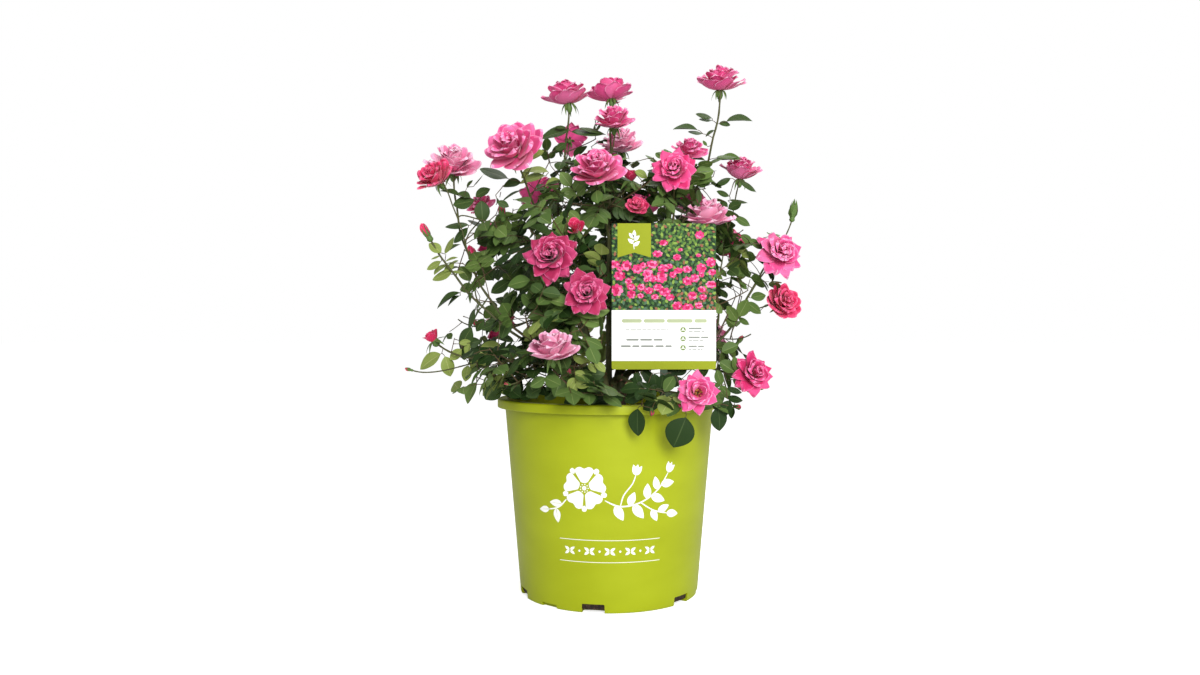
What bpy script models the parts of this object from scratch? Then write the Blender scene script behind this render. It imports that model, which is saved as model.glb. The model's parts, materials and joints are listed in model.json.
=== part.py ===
"""A double-flowered shrub rose growing in a green nursery pot, with its picture label on a stake.

Units are metres, +Z is up and the origin is the middle of the pot's flat underside. The view from the
front looks along +Y. The pot, the potting mix, the woody stump, each cane and each leafy shoot are
separate solids. A shoot is one stem with side twigs, leaves and roses fused to it, grown by a seeded rule.
"""

import math
import random
from collections import namedtuple

import bmesh
import bpy
from mathutils import Matrix, Vector
from mathutils.bvhtree import BVHTree

MM = 0.001
CLEARANCE = 0.3 * MM  # gap between two solids that touch on the real plant

# ---------------------------------------------------------------- driving dimensions
POT_HEIGHT = 245 * MM
RIM_RADIUS = 142 * MM
RIM_DEPTH = 11 * MM  # how far the turned-down lip hangs
RIM_ROUNDING = 2.5 * MM
LIP_THICKNESS = 2.2 * MM
NECK_RADIUS = 132.5 * MM  # outside of the wall, just under the lip
BASE_RADIUS = 112.5 * MM
BASE_ROUNDING = 3 * MM
WALL_THICKNESS = 2.2 * MM
FLOOR_THICKNESS = 3 * MM
TURNED_STEPS = 42

NOTCH_COUNT = 6
NOTCH_FIRST_DEG = -100  # one drain notch a little left of the front
NOTCH_WIDTH = 27 * MM
NOTCH_HEIGHT = 11 * MM
NOTCH_REACH = 13 * MM  # how far a notch runs in under the pot
FOOT_GAP_COUNT = 3
FOOT_GAP_FIRST_DEG = -130
FOOT_GAP_WIDTH = 24 * MM
FOOT_GAP_HEIGHT = 5 * MM
FOOT_GAP_REACH = 6 * MM

SOIL_LEVEL = 222 * MM
SOIL_FLAT_RADIUS = 60 * MM
SOIL_DIP = 5 * MM  # the mix lies lower round the wall

STUMP_HEIGHT = 28 * MM
STUMP_TOP_RADIUS = 24 * MM
STUMP_WAIST_RADIUS = 21 * MM
STUMP_FLARE_RADIUS = 32 * MM
STUMP_TOP = SOIL_LEVEL + CLEARANCE + STUMP_HEIGHT
CANE_RING_RADIUS = 18 * MM
CANE_FOOT_RADIUS = 4.2 * MM
CANE_TIP_RADIUS = 2.8 * MM
CANE_UPRIGHT = 6 * MM  # a cane leaves the stump straight up
CANE_POINTS = 9

LABEL_WIDTH = 125 * MM
LABEL_HEIGHT = 175 * MM
LABEL_THICKNESS = 0.8 * MM
LABEL_CENTRE = Vector((65, -80, 371)) * MM
STAKE_WIDTH = 9 * MM
STAKE_THICKNESS = 2 * MM
STAKE_POINT = 9 * MM
STAKE_BURIED = 60 * MM
STAKE_BEHIND_LABEL = 80 * MM

Taper = namedtuple("Taper", "foot tip points")
MAIN_STEM = Taper(2.2 * MM, 1.5 * MM, 6)
SIDE_STEM = Taper(1.15 * MM, 1.1 * MM, 4)
TWIG = Taper(1.0 * MM, 0.8 * MM, 2)
STEM_SIDES = 3
ROOT_SHARE = 1.3  # a twig reaches its full width this many of its radii from the middle of its parent
STEM_SPACING = 2.5 * MM  # two shoots stand side by side on one cane
TWIG_LENGTH = (45 * MM, 75 * MM)

LEAF_LENGTH = (44 * MM, 54 * MM)
LEAF_LENGTH_AT_TOP = 0.68  # share of that length at the top of the bush
SMALLER_FROM = 430 * MM  # level where leaves start to get smaller
TOP_LEVEL = 620 * MM
LEAF_WIDTH_SHARE = 0.64
LEAF_FOLD_SHARE = 0.03  # how far the edges rise over the midrib, which is the blade's thickness too
LEAF_WIDEST = 0.42  # share of the length from the root
LEAF_SINK = 0.25 * MM  # how far past the middle of the twig the root sits
LEAF_STALK = 8 * MM  # a leaf may share this much room at its root with its own twig
LEAF_SPACING = 11 * MM
LEAF_TURN_DEG = 144  # a rose sets five leaves in two turns
LEAF_RISE_DEG = 58  # angle between a leaf and its twig
GROWTH_SEED = 11
TRIES = 7  # other ways that a twig or a leaf may grow before it is left out
KEEP_CLEAR = 0.5 * MM  # least distance between two shoots
FLAT_ENOUGH = math.radians(1.5)  # faces this near to one plane become one
REACH_ACROSS = 238 * MM  # leaves stay inside an oval of this half width
REACH_DEEP = 205 * MM  # and this half depth
LOWEST_LEAF = 250 * MM  # most leaves stay above the rim; a few sprays hang over it
BACK_FROM = 70 * MM  # roses further back than this are seen from behind

Cane = namedtuple("Cane", "name ring_deg tip")
Rose = namedtuple("Rose", "place across tilt_deg facing_deg bud")
Shoot = namedtuple("Shoot", "name cane roses twigs leaves lowest", defaults=(LOWEST_LEAF,))

# Each cane stands on the stump at a ring angle (None is the middle) and ends where its shoots begin.
CANES = (
    Cane("cane_left", 190, (-98, -30, 316)),
    Cane("cane_left_low", 222, (-76, -70, 288)),
    Cane("cane_front", 255, (-30, -72, 318)),
    Cane("cane_front_right", 288, (30, -84, 266)),
    Cane("cane_right_low", 320, (92, -42, 290)),
    Cane("cane_right", 353, (112, 4, 300)),
    Cane("cane_tall", 26, (72, 25, 425)),
    Cane("cane_back_right", 58, (76, 80, 345)),
    Cane("cane_back", 91, (2, 88, 365)),
    Cane("cane_back_left", 124, (-75, 78, 345)),
    Cane("cane_upper_left", 157, (-62, 15, 415)),
    Cane("cane_centre", None, (0, -5, 435)),
)


def rose(x, y, z, across, tilt_deg, facing_deg):
    """An open rose: its middle and width in millimetres, its lean from upright and the way it faces."""
    return Rose(Vector((x, y, z)) * MM, across * MM, tilt_deg, facing_deg, False)


def bud(x, y, z, across, tilt_deg, facing_deg):
    """A closed bud, stated as a rose is."""
    return Rose(Vector((x, y, z)) * MM, across * MM, tilt_deg, facing_deg, True)


SHOOTS = (
    Shoot("shoot_left_high", "cane_left", (
        rose(-195, 2, 540, 50, 25, 10),
        rose(-217, -50, 524, 46, 62, 195),
        rose(-166, 32, 494, 44, 55, 120),
        bud(-133, -36, 475, 13, 20, 250),
    ), 4, 18),
    Shoot("shoot_left_mid", "cane_left", (
        bud(-229, -24, 452, 15, 30, 180),
        bud(-172, -8, 424, 16, 25, 200),
    ), 6, 19),
    Shoot("shoot_left_low", "cane_left_low", (
        bud(-218, -40, 320, 14, 35, 185),
        bud(-246, -48, 282, 6, 75, 180),
    ), 6, 19),
    Shoot("shoot_front_left", "cane_left_low", (
        rose(-61, -165, 318, 56, 14, 270),
        bud(-118, -120, 268, 6, 80, 235),
    ), 6, 26),
    Shoot("shoot_skirt_front", "cane_front", (
        bud(-46, -128, 282, 7, 60, 260),
        bud(-92, -96, 262, 6, 80, 225),
    ), 5, 26),
    Shoot("shoot_front_mid", "cane_front", (
        rose(-64, -140, 416, 56, 74, 262),
        rose(-27, -160, 373, 50, 78, 278),
        bud(-40, -92, 451, 19, 55, 265),
    ), 6, 24),
    Shoot("shoot_front_right", "cane_front_right", (
        rose(97, -168, 262, 50, 84, 272),
        bud(46, -160, 240, 7, 125, 270),
        bud(78, -150, 248, 7, 120, 275),
    ), 4, 11, 196 * MM),
    Shoot("shoot_right_low", "cane_right_low", (
        rose(178, -62, 279, 52, 72, 296),
        bud(150, -95, 240, 8, 90, 300),
    ), 5, 18, 224 * MM),
    Shoot("shoot_behind_label", "cane_right_low", (
        bud(62, -40, 440, 12, 10, 270),
    ), 6, 20),
    Shoot("shoot_right_mid", "cane_right", (
        rose(213, -22, 428, 57, 62, 322),
        rose(223, 8, 369, 44, 78, 345),
        bud(237, 6, 480, 13, 8, 0),
    ), 6, 20),
    Shoot("shoot_right_shoulder", "cane_right", (
        rose(121, -58, 478, 60, 12, 268),
        rose(174, 22, 543, 50, 14, 10),
    ), 6, 21),
    Shoot("shoot_tall", "cane_tall", (
        rose(145, 0, 651, 56, 8, 10),
    ), 4, 12),
    Shoot("shoot_upper_right", "cane_tall", (
        rose(77, -88, 524, 52, 74, 264),
        rose(104, 0, 565, 44, 32, 45),
    ), 6, 22),
    Shoot("shoot_back_right_high", "cane_back_right", (
        rose(118, 112, 512, 54, 35, 50),
        rose(172, 84, 452, 50, 62, 30),
    ), 6, 22),
    Shoot("shoot_back_right_low", "cane_back_right", (
        rose(150, 150, 328, 52, 70, 48),
        bud(196, 66, 330, 12, 40, 20),
    ), 6, 24),
    Shoot("shoot_back_high", "cane_back", (
        rose(-12, 118, 570, 54, 30, 95),
        rose(46, 150, 512, 50, 52, 78),
    ), 6, 22),
    Shoot("shoot_back_mid", "cane_back", (
        rose(-14, 196, 418, 54, 74, 95),
        rose(28, 186, 304, 48, 80, 84),
    ), 6, 24),
    Shoot("shoot_back_left_high", "cane_back_left", (
        rose(-98, 122, 528, 56, 36, 125),
        rose(-165, 110, 462, 48, 60, 145),
    ), 6, 22),
    Shoot("shoot_back_left_low", "cane_back_left", (
        rose(-158, 142, 340, 50, 70, 140),
        bud(-206, 60, 350, 12, 40, 160),
    ), 6, 24),
    Shoot("shoot_upper_left", "cane_upper_left", (
        rose(-115, -78, 551, 66, 48, 258),
    ), 6, 20),
    Shoot("shoot_top_left", "cane_upper_left", (
        rose(-53, -18, 630, 56, 10, 200),
        rose(-52, 54, 588, 42, 62, 90),
    ), 5, 17),
    Shoot("shoot_top_centre", "cane_centre", (
        rose(6, 32, 646, 53, 16, 60),
        rose(8, -22, 600, 50, 22, 268),
        rose(24, 64, 582, 50, 34, 60),
    ), 6, 19),
    Shoot("shoot_centre_high", "cane_centre", (
        rose(-16, -98, 526, 60, 46, 264),
        bud(28, 0, 528, 20, 20, 300),
        rose(34, -50, 484, 30, 60, 280),
    ), 6, 22),
)

UP = Vector((0, 0, 1))


# ---------------------------------------------------------------- scene and materials
def clear_scene():
    for old in list(bpy.data.objects):
        bpy.data.objects.remove(old, do_unlink=True)


def new_collection(name, hidden=False):
    made = bpy.data.collections.new(name)
    made.hide_render = hidden
    bpy.context.scene.collection.children.link(made)
    return made


def finish(name, colour, roughness):
    material = bpy.data.materials.new(name)
    material.use_nodes = True
    shader = material.node_tree.nodes["Principled BSDF"]
    shader.inputs["Base Color"].default_value = (*colour, 1)
    shader.inputs["Roughness"].default_value = roughness
    shader.inputs["Metallic"].default_value = 0
    return material


def place(name, mesh, collection, material=None):
    made = bpy.data.objects.new(name, mesh)
    if material:
        made.data.materials.append(material)
    collection.objects.link(made)
    return made


def mark_as_cutter(cutter):
    cutter.hide_render = True
    cutter.display_type = "WIRE"


# ---------------------------------------------------------------- turned and cut pieces
def turned(name, profile, steps, collection, material):
    """A profile of (radius, height) points, spun once round the Z axis."""
    mesh = bpy.data.meshes.new(name)
    mesh.from_pydata([(r, 0, z) for r, z in profile], [(i, i + 1) for i in range(len(profile) - 1)], [])
    made = place(name, mesh, collection, material)
    spin = made.modifiers.new("spin", "SCREW")
    spin.steps = steps
    spin.render_steps = steps
    spin.use_merge_vertices = True
    spin.merge_threshold = 0.1 * MM
    return made


def box_cutter(name, size, middle, turn_deg, collection):
    """A box of that size, its middle turned about the Z axis with it."""
    shape = bmesh.new()
    turn = Matrix.Rotation(math.radians(turn_deg), 4, "Z")
    bmesh.ops.create_cube(shape, size=1, matrix=turn @ Matrix.Translation(middle) @ Matrix.Diagonal((*size, 1)))
    mesh = bpy.data.meshes.new(name)
    shape.to_mesh(mesh)
    shape.free()
    made = place(name, mesh, collection)
    mark_as_cutter(made)
    return made


def cut_with(target, collection):
    cut = target.modifiers.new("cut", "BOOLEAN")
    cut.operation = "DIFFERENCE"
    cut.operand_type = "COLLECTION"
    cut.collection = collection


def wall_radius(height):
    """Outer radius of the tapered wall at a height."""
    return BASE_RADIUS + (NECK_RADIUS - BASE_RADIUS) * height / (POT_HEIGHT - RIM_DEPTH)


def edge_cutters(kind, count, first_deg, width, height, reach, collection):
    """Boxes that cut evenly spaced gaps in the pot's bottom edge."""
    overrun = 8 * MM
    size = (reach + overrun, width, height + overrun)
    middle = Vector((BASE_RADIUS + (overrun - reach) / 2, 0, (height - overrun) / 2))
    for number in range(count):
        box_cutter(f"{kind}_{number + 1}", size, middle, first_deg + 360 * number / count, collection)


def make_pot(parts, material):
    lip_bottom = POT_HEIGHT - RIM_DEPTH
    under_lip = POT_HEIGHT - LIP_THICKNESS
    inside_top = NECK_RADIUS - WALL_THICKNESS
    profile = (
        (0, FLOOR_THICKNESS),
        (wall_radius(FLOOR_THICKNESS) - WALL_THICKNESS, FLOOR_THICKNESS),
        (inside_top, lip_bottom),
        (inside_top, under_lip),
        (inside_top + RIM_ROUNDING, POT_HEIGHT),
        (RIM_RADIUS - RIM_ROUNDING, POT_HEIGHT),
        (RIM_RADIUS, POT_HEIGHT - RIM_ROUNDING),
        (RIM_RADIUS, lip_bottom),
        (RIM_RADIUS - LIP_THICKNESS, lip_bottom),
        (RIM_RADIUS - LIP_THICKNESS, under_lip),
        (NECK_RADIUS + WALL_THICKNESS / 2, under_lip),
        (NECK_RADIUS, lip_bottom),
        (wall_radius(BASE_ROUNDING), BASE_ROUNDING),
        (BASE_RADIUS - BASE_ROUNDING, 0),
        (0, 0),
    )
    pot = turned("pot", profile, TURNED_STEPS, parts, material)
    cutters = new_collection("pot edge cutters", hidden=True)
    edge_cutters("drain_notch", NOTCH_COUNT, NOTCH_FIRST_DEG, NOTCH_WIDTH, NOTCH_HEIGHT, NOTCH_REACH, cutters)
    edge_cutters("foot_gap", FOOT_GAP_COUNT, FOOT_GAP_FIRST_DEG, FOOT_GAP_WIDTH, FOOT_GAP_HEIGHT, FOOT_GAP_REACH,
                 cutters)
    cut_with(pot, cutters)
    return pot


def make_potting_mix(parts, material):
    """The fill, with the slot that the label's stake stands in."""
    floor = FLOOR_THICKNESS + CLEARANCE
    inset = WALL_THICKNESS + 2 * CLEARANCE
    edge_level = SOIL_LEVEL - SOIL_DIP
    profile = (
        (0, SOIL_LEVEL),
        (SOIL_FLAT_RADIUS, SOIL_LEVEL),
        (wall_radius(edge_level) - inset, edge_level),
        (wall_radius(floor) - inset, floor),
        (0, floor),
    )
    mix = turned("potting_mix", profile, TURNED_STEPS, parts, material)
    slot = new_collection("stake slot", hidden=True)
    size = (STAKE_WIDTH + 2 * CLEARANCE, STAKE_THICKNESS + 2 * CLEARANCE, 2 * STAKE_BURIED)
    middle = Vector((LABEL_CENTRE.x, stake_middle_y(), SOIL_LEVEL - CLEARANCE))
    box_cutter("stake_slot", size, middle, 0, slot)
    cut_with(mix, slot)
    return mix


def make_stump(parts, material):
    """The short woody base that all the canes stand on, flared at soil level."""
    foot = SOIL_LEVEL + CLEARANCE
    profile = (
        (0, STUMP_TOP),
        (STUMP_TOP_RADIUS, STUMP_TOP),
        (STUMP_WAIST_RADIUS, foot + 0.45 * STUMP_HEIGHT),
        (STUMP_FLARE_RADIUS, foot),
        (0, foot),
    )
    return turned("stump", profile, TURNED_STEPS // 3, parts, material)


# ---------------------------------------------------------------- label
def stake_middle_y():
    return LABEL_CENTRE.y + LABEL_THICKNESS / 2 + CLEARANCE + STAKE_THICKNESS / 2


def make_label_card(parts, material):
    bpy.ops.mesh.primitive_cube_add(size=1, location=LABEL_CENTRE)
    card = bpy.context.active_object
    card.name = "label_card"
    card.scale = (LABEL_WIDTH, LABEL_THICKNESS, LABEL_HEIGHT)
    card.data.materials.append(material)
    for holder in card.users_collection:
        holder.objects.unlink(card)
    parts.objects.link(card)
    return card


def make_label_stake(parts, material):
    """A flat pointed strip, pushed into the mix behind the card."""
    top = LABEL_CENTRE.z - LABEL_HEIGHT / 2 + STAKE_BEHIND_LABEL
    bottom = SOIL_LEVEL - STAKE_BURIED + CLEARANCE
    half = STAKE_WIDTH / 2
    outline = ((-half, top), (-half, bottom + STAKE_POINT), (0, bottom), (half, bottom + STAKE_POINT), (half, top))
    curve = bpy.data.curves.new("label_stake", "CURVE")
    curve.dimensions = "2D"
    curve.fill_mode = "BOTH"
    curve.extrude = STAKE_THICKNESS / 2
    spline = curve.splines.new("POLY")
    spline.points.add(len(outline) - 1)
    for point, (x, z) in zip(spline.points, outline):
        point.co = (x, z, 0, 1)
    spline.use_cyclic_u = True
    stake = place("label_stake", curve, parts, material)
    stake.location = (LABEL_CENTRE.x, stake_middle_y(), 0)
    stake.rotation_euler = (math.radians(90), 0, 0)
    return stake


# ---------------------------------------------------------------- lines that stems follow
def bezier(start, leave, arrive, end, count):
    """Evenly stepped points on a cubic curve, both ends included."""
    points = []
    for step in range(count):
        t = step / (count - 1)
        s = 1 - t
        points.append(start * s**3 + leave * 3 * s * s * t + arrive * 3 * s * t * t + end * t**3)
    return points


def cane_line(cane):
    """Straight up from the stump, then over in one arch to the tip."""
    foot = Vector((0, 0, STUMP_TOP + CLEARANCE))
    if cane.ring_deg is not None:
        ring = math.radians(cane.ring_deg)
        foot += Vector((math.cos(ring), math.sin(ring), 0)) * CANE_RING_RADIUS
    tip = Vector(cane.tip) * MM
    knee = foot + UP * CANE_UPRIGHT
    span = (tip - knee).length
    lean = (tip - knee).normalized()
    arch = bezier(knee, knee + UP * span * 0.4, tip - lean * span * 0.3, tip, CANE_POINTS)
    return [foot] + arch


def aim(tilt_deg, facing_deg):
    """The direction that a flower faces."""
    tilt, facing = math.radians(tilt_deg), math.radians(facing_deg)
    return Vector((math.sin(tilt) * math.cos(facing), math.sin(tilt) * math.sin(facing), math.cos(tilt)))


def rose_foot(flower):
    """Where the stalk ends, just inside the back of the flower."""
    return flower.place - aim(flower.tilt_deg, flower.facing_deg) * flower.across * (0.45 if flower.bud else 0.2)


def stem_line(start, heading, flower, count):
    """A stem that leaves along heading and comes up behind the flower it carries."""
    end = rose_foot(flower)
    span = (end - start).length
    back = aim(flower.tilt_deg, flower.facing_deg)
    rise = (end - start).normalized() * 0.5 + back * 0.5 + UP * 0.25
    return bezier(start, start + heading * span * 0.33, end - rise.normalized() * span * 0.3, end, count)


def point_on(line, share):
    """(point, direction) at a share of the line's steps."""
    place_on = share * (len(line) - 1)
    index = min(int(place_on), len(line) - 2)
    here = line[index].lerp(line[index + 1], place_on - index)
    return here, (line[index + 1] - line[index]).normalized()


def line_length(line):
    return sum((b - a).length for a, b in zip(line, line[1:]))


def square_to(direction, hint):
    """The part of hint that is square to direction, one unit long."""
    return (hint - direction * hint.dot(direction)).normalized()


def flower_lines(shoot, start, heading):
    """The main stem to the first flower, then one side stem to each of the others."""
    main = stem_line(start, heading, shoot.roses[0], MAIN_STEM.points)
    lines = [main]
    for number, flower in enumerate(shoot.roses[1:]):
        fork, along = point_on(main, 0.42 + 0.16 * number)
        lines.append(stem_line(fork, along, flower, SIDE_STEM.points))
    return lines


def twig_line(lines, number, count, rng):
    """A leafy side twig. They are dealt out along the flower stems and turned by the leaf angle from one to the next."""
    parent = lines[number % len(lines)]
    share = 0.1 + 0.7 * (number + rng.random()) / count
    fork, along = point_on(parent, share)
    side = Matrix.Rotation(math.radians(LEAF_TURN_DEG * number + rng.uniform(-70, 70)), 3, along)
    outward = side @ square_to(along, Vector((fork.x, fork.y, 0.3 * fork.z)) + Vector((0, 0, MM)))
    heading = (along * 0.45 + outward + UP * rng.uniform(-0.15, 0.2)).normalized()
    length = rng.uniform(*TWIG_LENGTH)
    end = fork + heading * length + UP * length * 0.12
    return bezier(fork, fork + heading * length * 0.4, end - UP * length * 0.1, end, TWIG.points)


# ---------------------------------------------------------------- shapes of the shoots
Shape = namedtuple("Shape", "points faces tree low high")


def shape_of(points, faces):
    low = Vector(min(p[k] for p in points) for k in range(3))
    high = Vector(max(p[k] for p in points) for k in range(3))
    return Shape(points, faces, BVHTree.FromPolygons(points, faces), low, high)


def near(a, b):
    return all(a.low[k] <= b.high[k] and b.low[k] <= a.high[k] for k in range(3))


def clashes(candidate, taken):
    return any(near(candidate, other) and candidate.tree.overlap(other.tree) for other in taken)


def loft(rings, tip=None, root=None):
    """Faces between rings of equal count. Each end closes to a point where one is given, or else flat."""
    sides = len(rings[0])
    points = [p for ring in rings for p in ring]
    faces = []
    for row in range(len(rings) - 1):
        for side in range(sides):
            a, b = row * sides + side, row * sides + (side + 1) % sides
            faces += [(a, b, b + sides), (a, b + sides, a + sides)]
    last = (len(rings) - 1) * sides
    if root is None:
        faces.append(tuple(reversed(range(sides))))
    else:
        points.append(root)
        faces += [(len(points) - 1, (side + 1) % sides, side) for side in range(sides)]
    if tip is None:
        faces.append(tuple(range(last, last + sides)))
    else:
        points.append(tip)
        faces += [(last + side, last + (side + 1) % sides, len(points) - 1) for side in range(sides)]
    return points, faces


def stem_shape(line, taper, grow=0.0, heading=None):
    """A three-sided tube that tapers along a line. With a heading it starts in a cap square to that, and
    without one in a point sunk in its parent."""
    rings = []
    across = square_to(line[1] - line[0], Vector((0.31, 0.22, 0.93)))
    for index, here in enumerate(line):
        before, after = line[max(index - 1, 0)], line[min(index + 1, len(line) - 1)]
        along = (after - before).normalized()
        if index == 0:
            along = heading or along
            here = here if heading else here + along * taper.foot * ROOT_SHARE
        if index == len(line) - 1:
            here = here + along * grow
        across = square_to(along, across)
        up = along.cross(across)
        share = index / (len(line) - 1)
        radius = taper.foot + (taper.tip - taper.foot) * share + 2 * grow  # a flat moves half as far as an edge
        turns = [2 * math.pi * side / STEM_SIDES for side in range(STEM_SIDES)]
        rings.append([here + (across * math.cos(t) + up * math.sin(t)) * radius for t in turns])
    root = None if heading else line[0] + (line[0] - line[1]).normalized() * (LEAF_SINK + grow)
    return shape_of(*loft(rings, root=root))


def leaf_shape(root, along, facing, length, grow=0.0):
    """A kite-shaped blade folded up from its midrib, which runs from the root to the tip."""
    facing = square_to(along, facing)
    across = facing.cross(along) * (length * LEAF_WIDTH_SHARE / 2 + grow)
    foot = root - along * (LEAF_SINK + grow) - facing * grow
    tip = root + along * (length + grow) - facing * grow
    widest = root + along * length * LEAF_WIDEST + facing * (length * LEAF_FOLD_SHARE + grow)
    return shape_of([foot, tip, widest + across, widest - across], [(0, 3, 2), (1, 2, 3), (0, 2, 1), (0, 1, 3)])


def rose_shape(flower, grow=0.0):
    """A double rose: a star of outer petal tips, a smaller star of inner ones above it, and a dip in the middle."""
    petals = 5
    axis = aim(flower.tilt_deg, flower.facing_deg)
    across = square_to(axis, Vector((0.9, 0.3, 0.2)))
    up = axis.cross(across)
    size = flower.across + 2 * grow
    base = flower.place - axis * size * 0.28

    def star(tip_share, dip_share, tip_height, dip_height):
        ring = []
        for step in range(2 * petals):
            angle = math.pi * step / petals
            reach, height = (tip_share, tip_height) if step % 2 == 0 else (dip_share, dip_height)
            ring.append(base + axis * height * size + (across * math.cos(angle) + up * math.sin(angle)) * reach * size)
        return ring

    rings = [star(0.53, 0.43, 0.28, 0.2), star(0.35, 0.28, 0.56, 0.5)]
    points, faces = loft(rings, tip=base + axis * size * 0.42, root=None)
    faces.remove(tuple(reversed(range(2 * petals))))
    points.append(base)
    for petal in range(petals):
        before, tip, after = (2 * petal - 1) % (2 * petals), 2 * petal, 2 * petal + 1
        faces += [(len(points) - 1, after, before), (before, after, tip)]
    return shape_of(points, faces)


def bud_shape(flower, grow=0.0):
    """A pointed bud on its hip: five-sided, widest below its middle."""
    axis = aim(flower.tilt_deg, flower.facing_deg)
    across = square_to(axis, Vector((0.9, 0.3, 0.2)))
    up = axis.cross(across)
    size = flower.across + 2 * grow
    rings = []
    for height, reach in ((-0.3, 0.42), (0.15, 0.5), (0.6, 0.3)):
        turns = [2 * math.pi * side / 5 for side in range(5)]
        middle = flower.place + axis * height * size
        rings.append([middle + (across * math.cos(t) + up * math.sin(t)) * reach * size for t in turns])
    return shape_of(*loft(rings, tip=flower.place + axis * 0.95 * size, root=flower.place - axis * 0.75 * size))


def flower_shape(flower, grow=0.0):
    return bud_shape(flower, grow) if flower.bud else rose_shape(flower, grow)


def leaf_roots(line, bare_share, turn):
    """(point, direction, turn) of each leaf along a line beyond its bare foot, going round it."""
    count = max(1, round(line_length(line) * (1 - bare_share) / LEAF_SPACING))
    roots = []
    for number in range(count):
        point, along = point_on(line, bare_share + (1 - bare_share) * (number + 0.6) / count)
        roots.append((point, along, turn + LEAF_TURN_DEG * number))
    return roots


def leaf_size_at(level):
    """How long a leaf is, as a share: full low down and smaller towards the top."""
    rise = min(max((level - SMALLER_FROM) / (TOP_LEVEL - SMALLER_FROM), 0), 1)
    return 1 + (LEAF_LENGTH_AT_TOP - 1) * rise


def leaf_spot(root, along, turn, rng):
    """(root, heading, facing, length) of one leaf: it leaves its twig sideways, and faces up and outwards."""
    side = Matrix.Rotation(math.radians(turn + rng.uniform(-40, 40)), 3, along) @ square_to(along, Vector((0.2, 0.1, 1)))
    rise = math.radians(LEAF_RISE_DEG + rng.uniform(-14, 14))
    heading = (along * math.cos(rise) + side * math.sin(rise) - UP * 0.12).normalized()
    facing = UP * 0.75 + Vector((root.x, root.y, 0)).normalized() * 0.6
    facing += Vector([rng.uniform(-0.35, 0.35) for _ in range(3)])
    return root, heading, facing, rng.uniform(*LEAF_LENGTH) * leaf_size_at(root.z)


# ---------------------------------------------------------------- assembling the plant
def world_shape(made):
    """The finished surface of an object as a shape to keep clear of."""
    graph = bpy.context.evaluated_depsgraph_get()
    evaluated = made.evaluated_get(graph)
    mesh = evaluated.to_mesh()
    points = [evaluated.matrix_world @ v.co for v in mesh.vertices]
    faces = [tuple(p.vertices) for p in mesh.polygons]
    evaluated.to_mesh_clear()
    return shape_of(points, faces)


def hides_label(point):
    """Whether something there would hang in front of the label card."""
    margin = 3 * MM
    beside = abs(point.x - LABEL_CENTRE.x) > LABEL_WIDTH / 2 + margin
    past = abs(point.z - LABEL_CENTRE.z) > LABEL_HEIGHT / 2 + margin
    return not (beside or past) and point.y < LABEL_CENTRE.y


def hides_rose(point, flower):
    """Whether something there would hang before a rose, seen from the rose's own side of the bush."""
    side = -1 if flower.place.y < BACK_FROM else 1
    away = point - flower.place
    return away.y * side > 0 and max(abs(away.x), abs(away.z)) < flower.across / 2


def out_of_bounds(candidate, lowest):
    """Whether a twig or a leaf leaves the bush's outline, hangs too low, or hides the label or a rose."""
    for point in candidate.points:
        outside = math.hypot(point.x / REACH_ACROSS, point.y / REACH_DEEP) > 1
        if outside or point.z < lowest or hides_label(point):
            return True
        if any(hides_rose(point, flower) for shoot in SHOOTS for flower in shoot.roses):
            return True
    return False


def make_cane(cane, parts, material):
    """A tapering tube along the cane's line."""
    line = cane_line(cane)
    curve = bpy.data.curves.new(cane.name, "CURVE")
    curve.dimensions = "3D"
    curve.bevel_depth = CANE_FOOT_RADIUS
    curve.bevel_resolution = 1
    curve.use_fill_caps = True
    spline = curve.splines.new("POLY")
    spline.points.add(len(line) - 1)
    for index, (point, here) in enumerate(zip(spline.points, line)):
        point.co = (*here, 1)
        point.radius = 1 + (CANE_TIP_RADIUS / CANE_FOOT_RADIUS - 1) * index / (len(line) - 1)
    return place(cane.name, curve, parts, material)


def shoot_starts(cane):
    """Where each shoot of a cane begins: side by side on its tip, spread towards their first flowers."""
    line = cane_line(cane)
    tip, heading = line[-1], (line[-1] - line[-2]).normalized()
    own = [shoot for shoot in SHOOTS if shoot.cane == cane.name]
    if len(own) == 1:
        return {own[0].name: (tip + heading * CLEARANCE, heading)}
    apart = square_to(heading, own[0].roses[0].place - own[1].roses[0].place) * STEM_SPACING
    return {
        own[0].name: (tip + heading * CLEARANCE + apart, heading),
        own[1].name: (tip + heading * CLEARANCE - apart, heading),
    }


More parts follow.
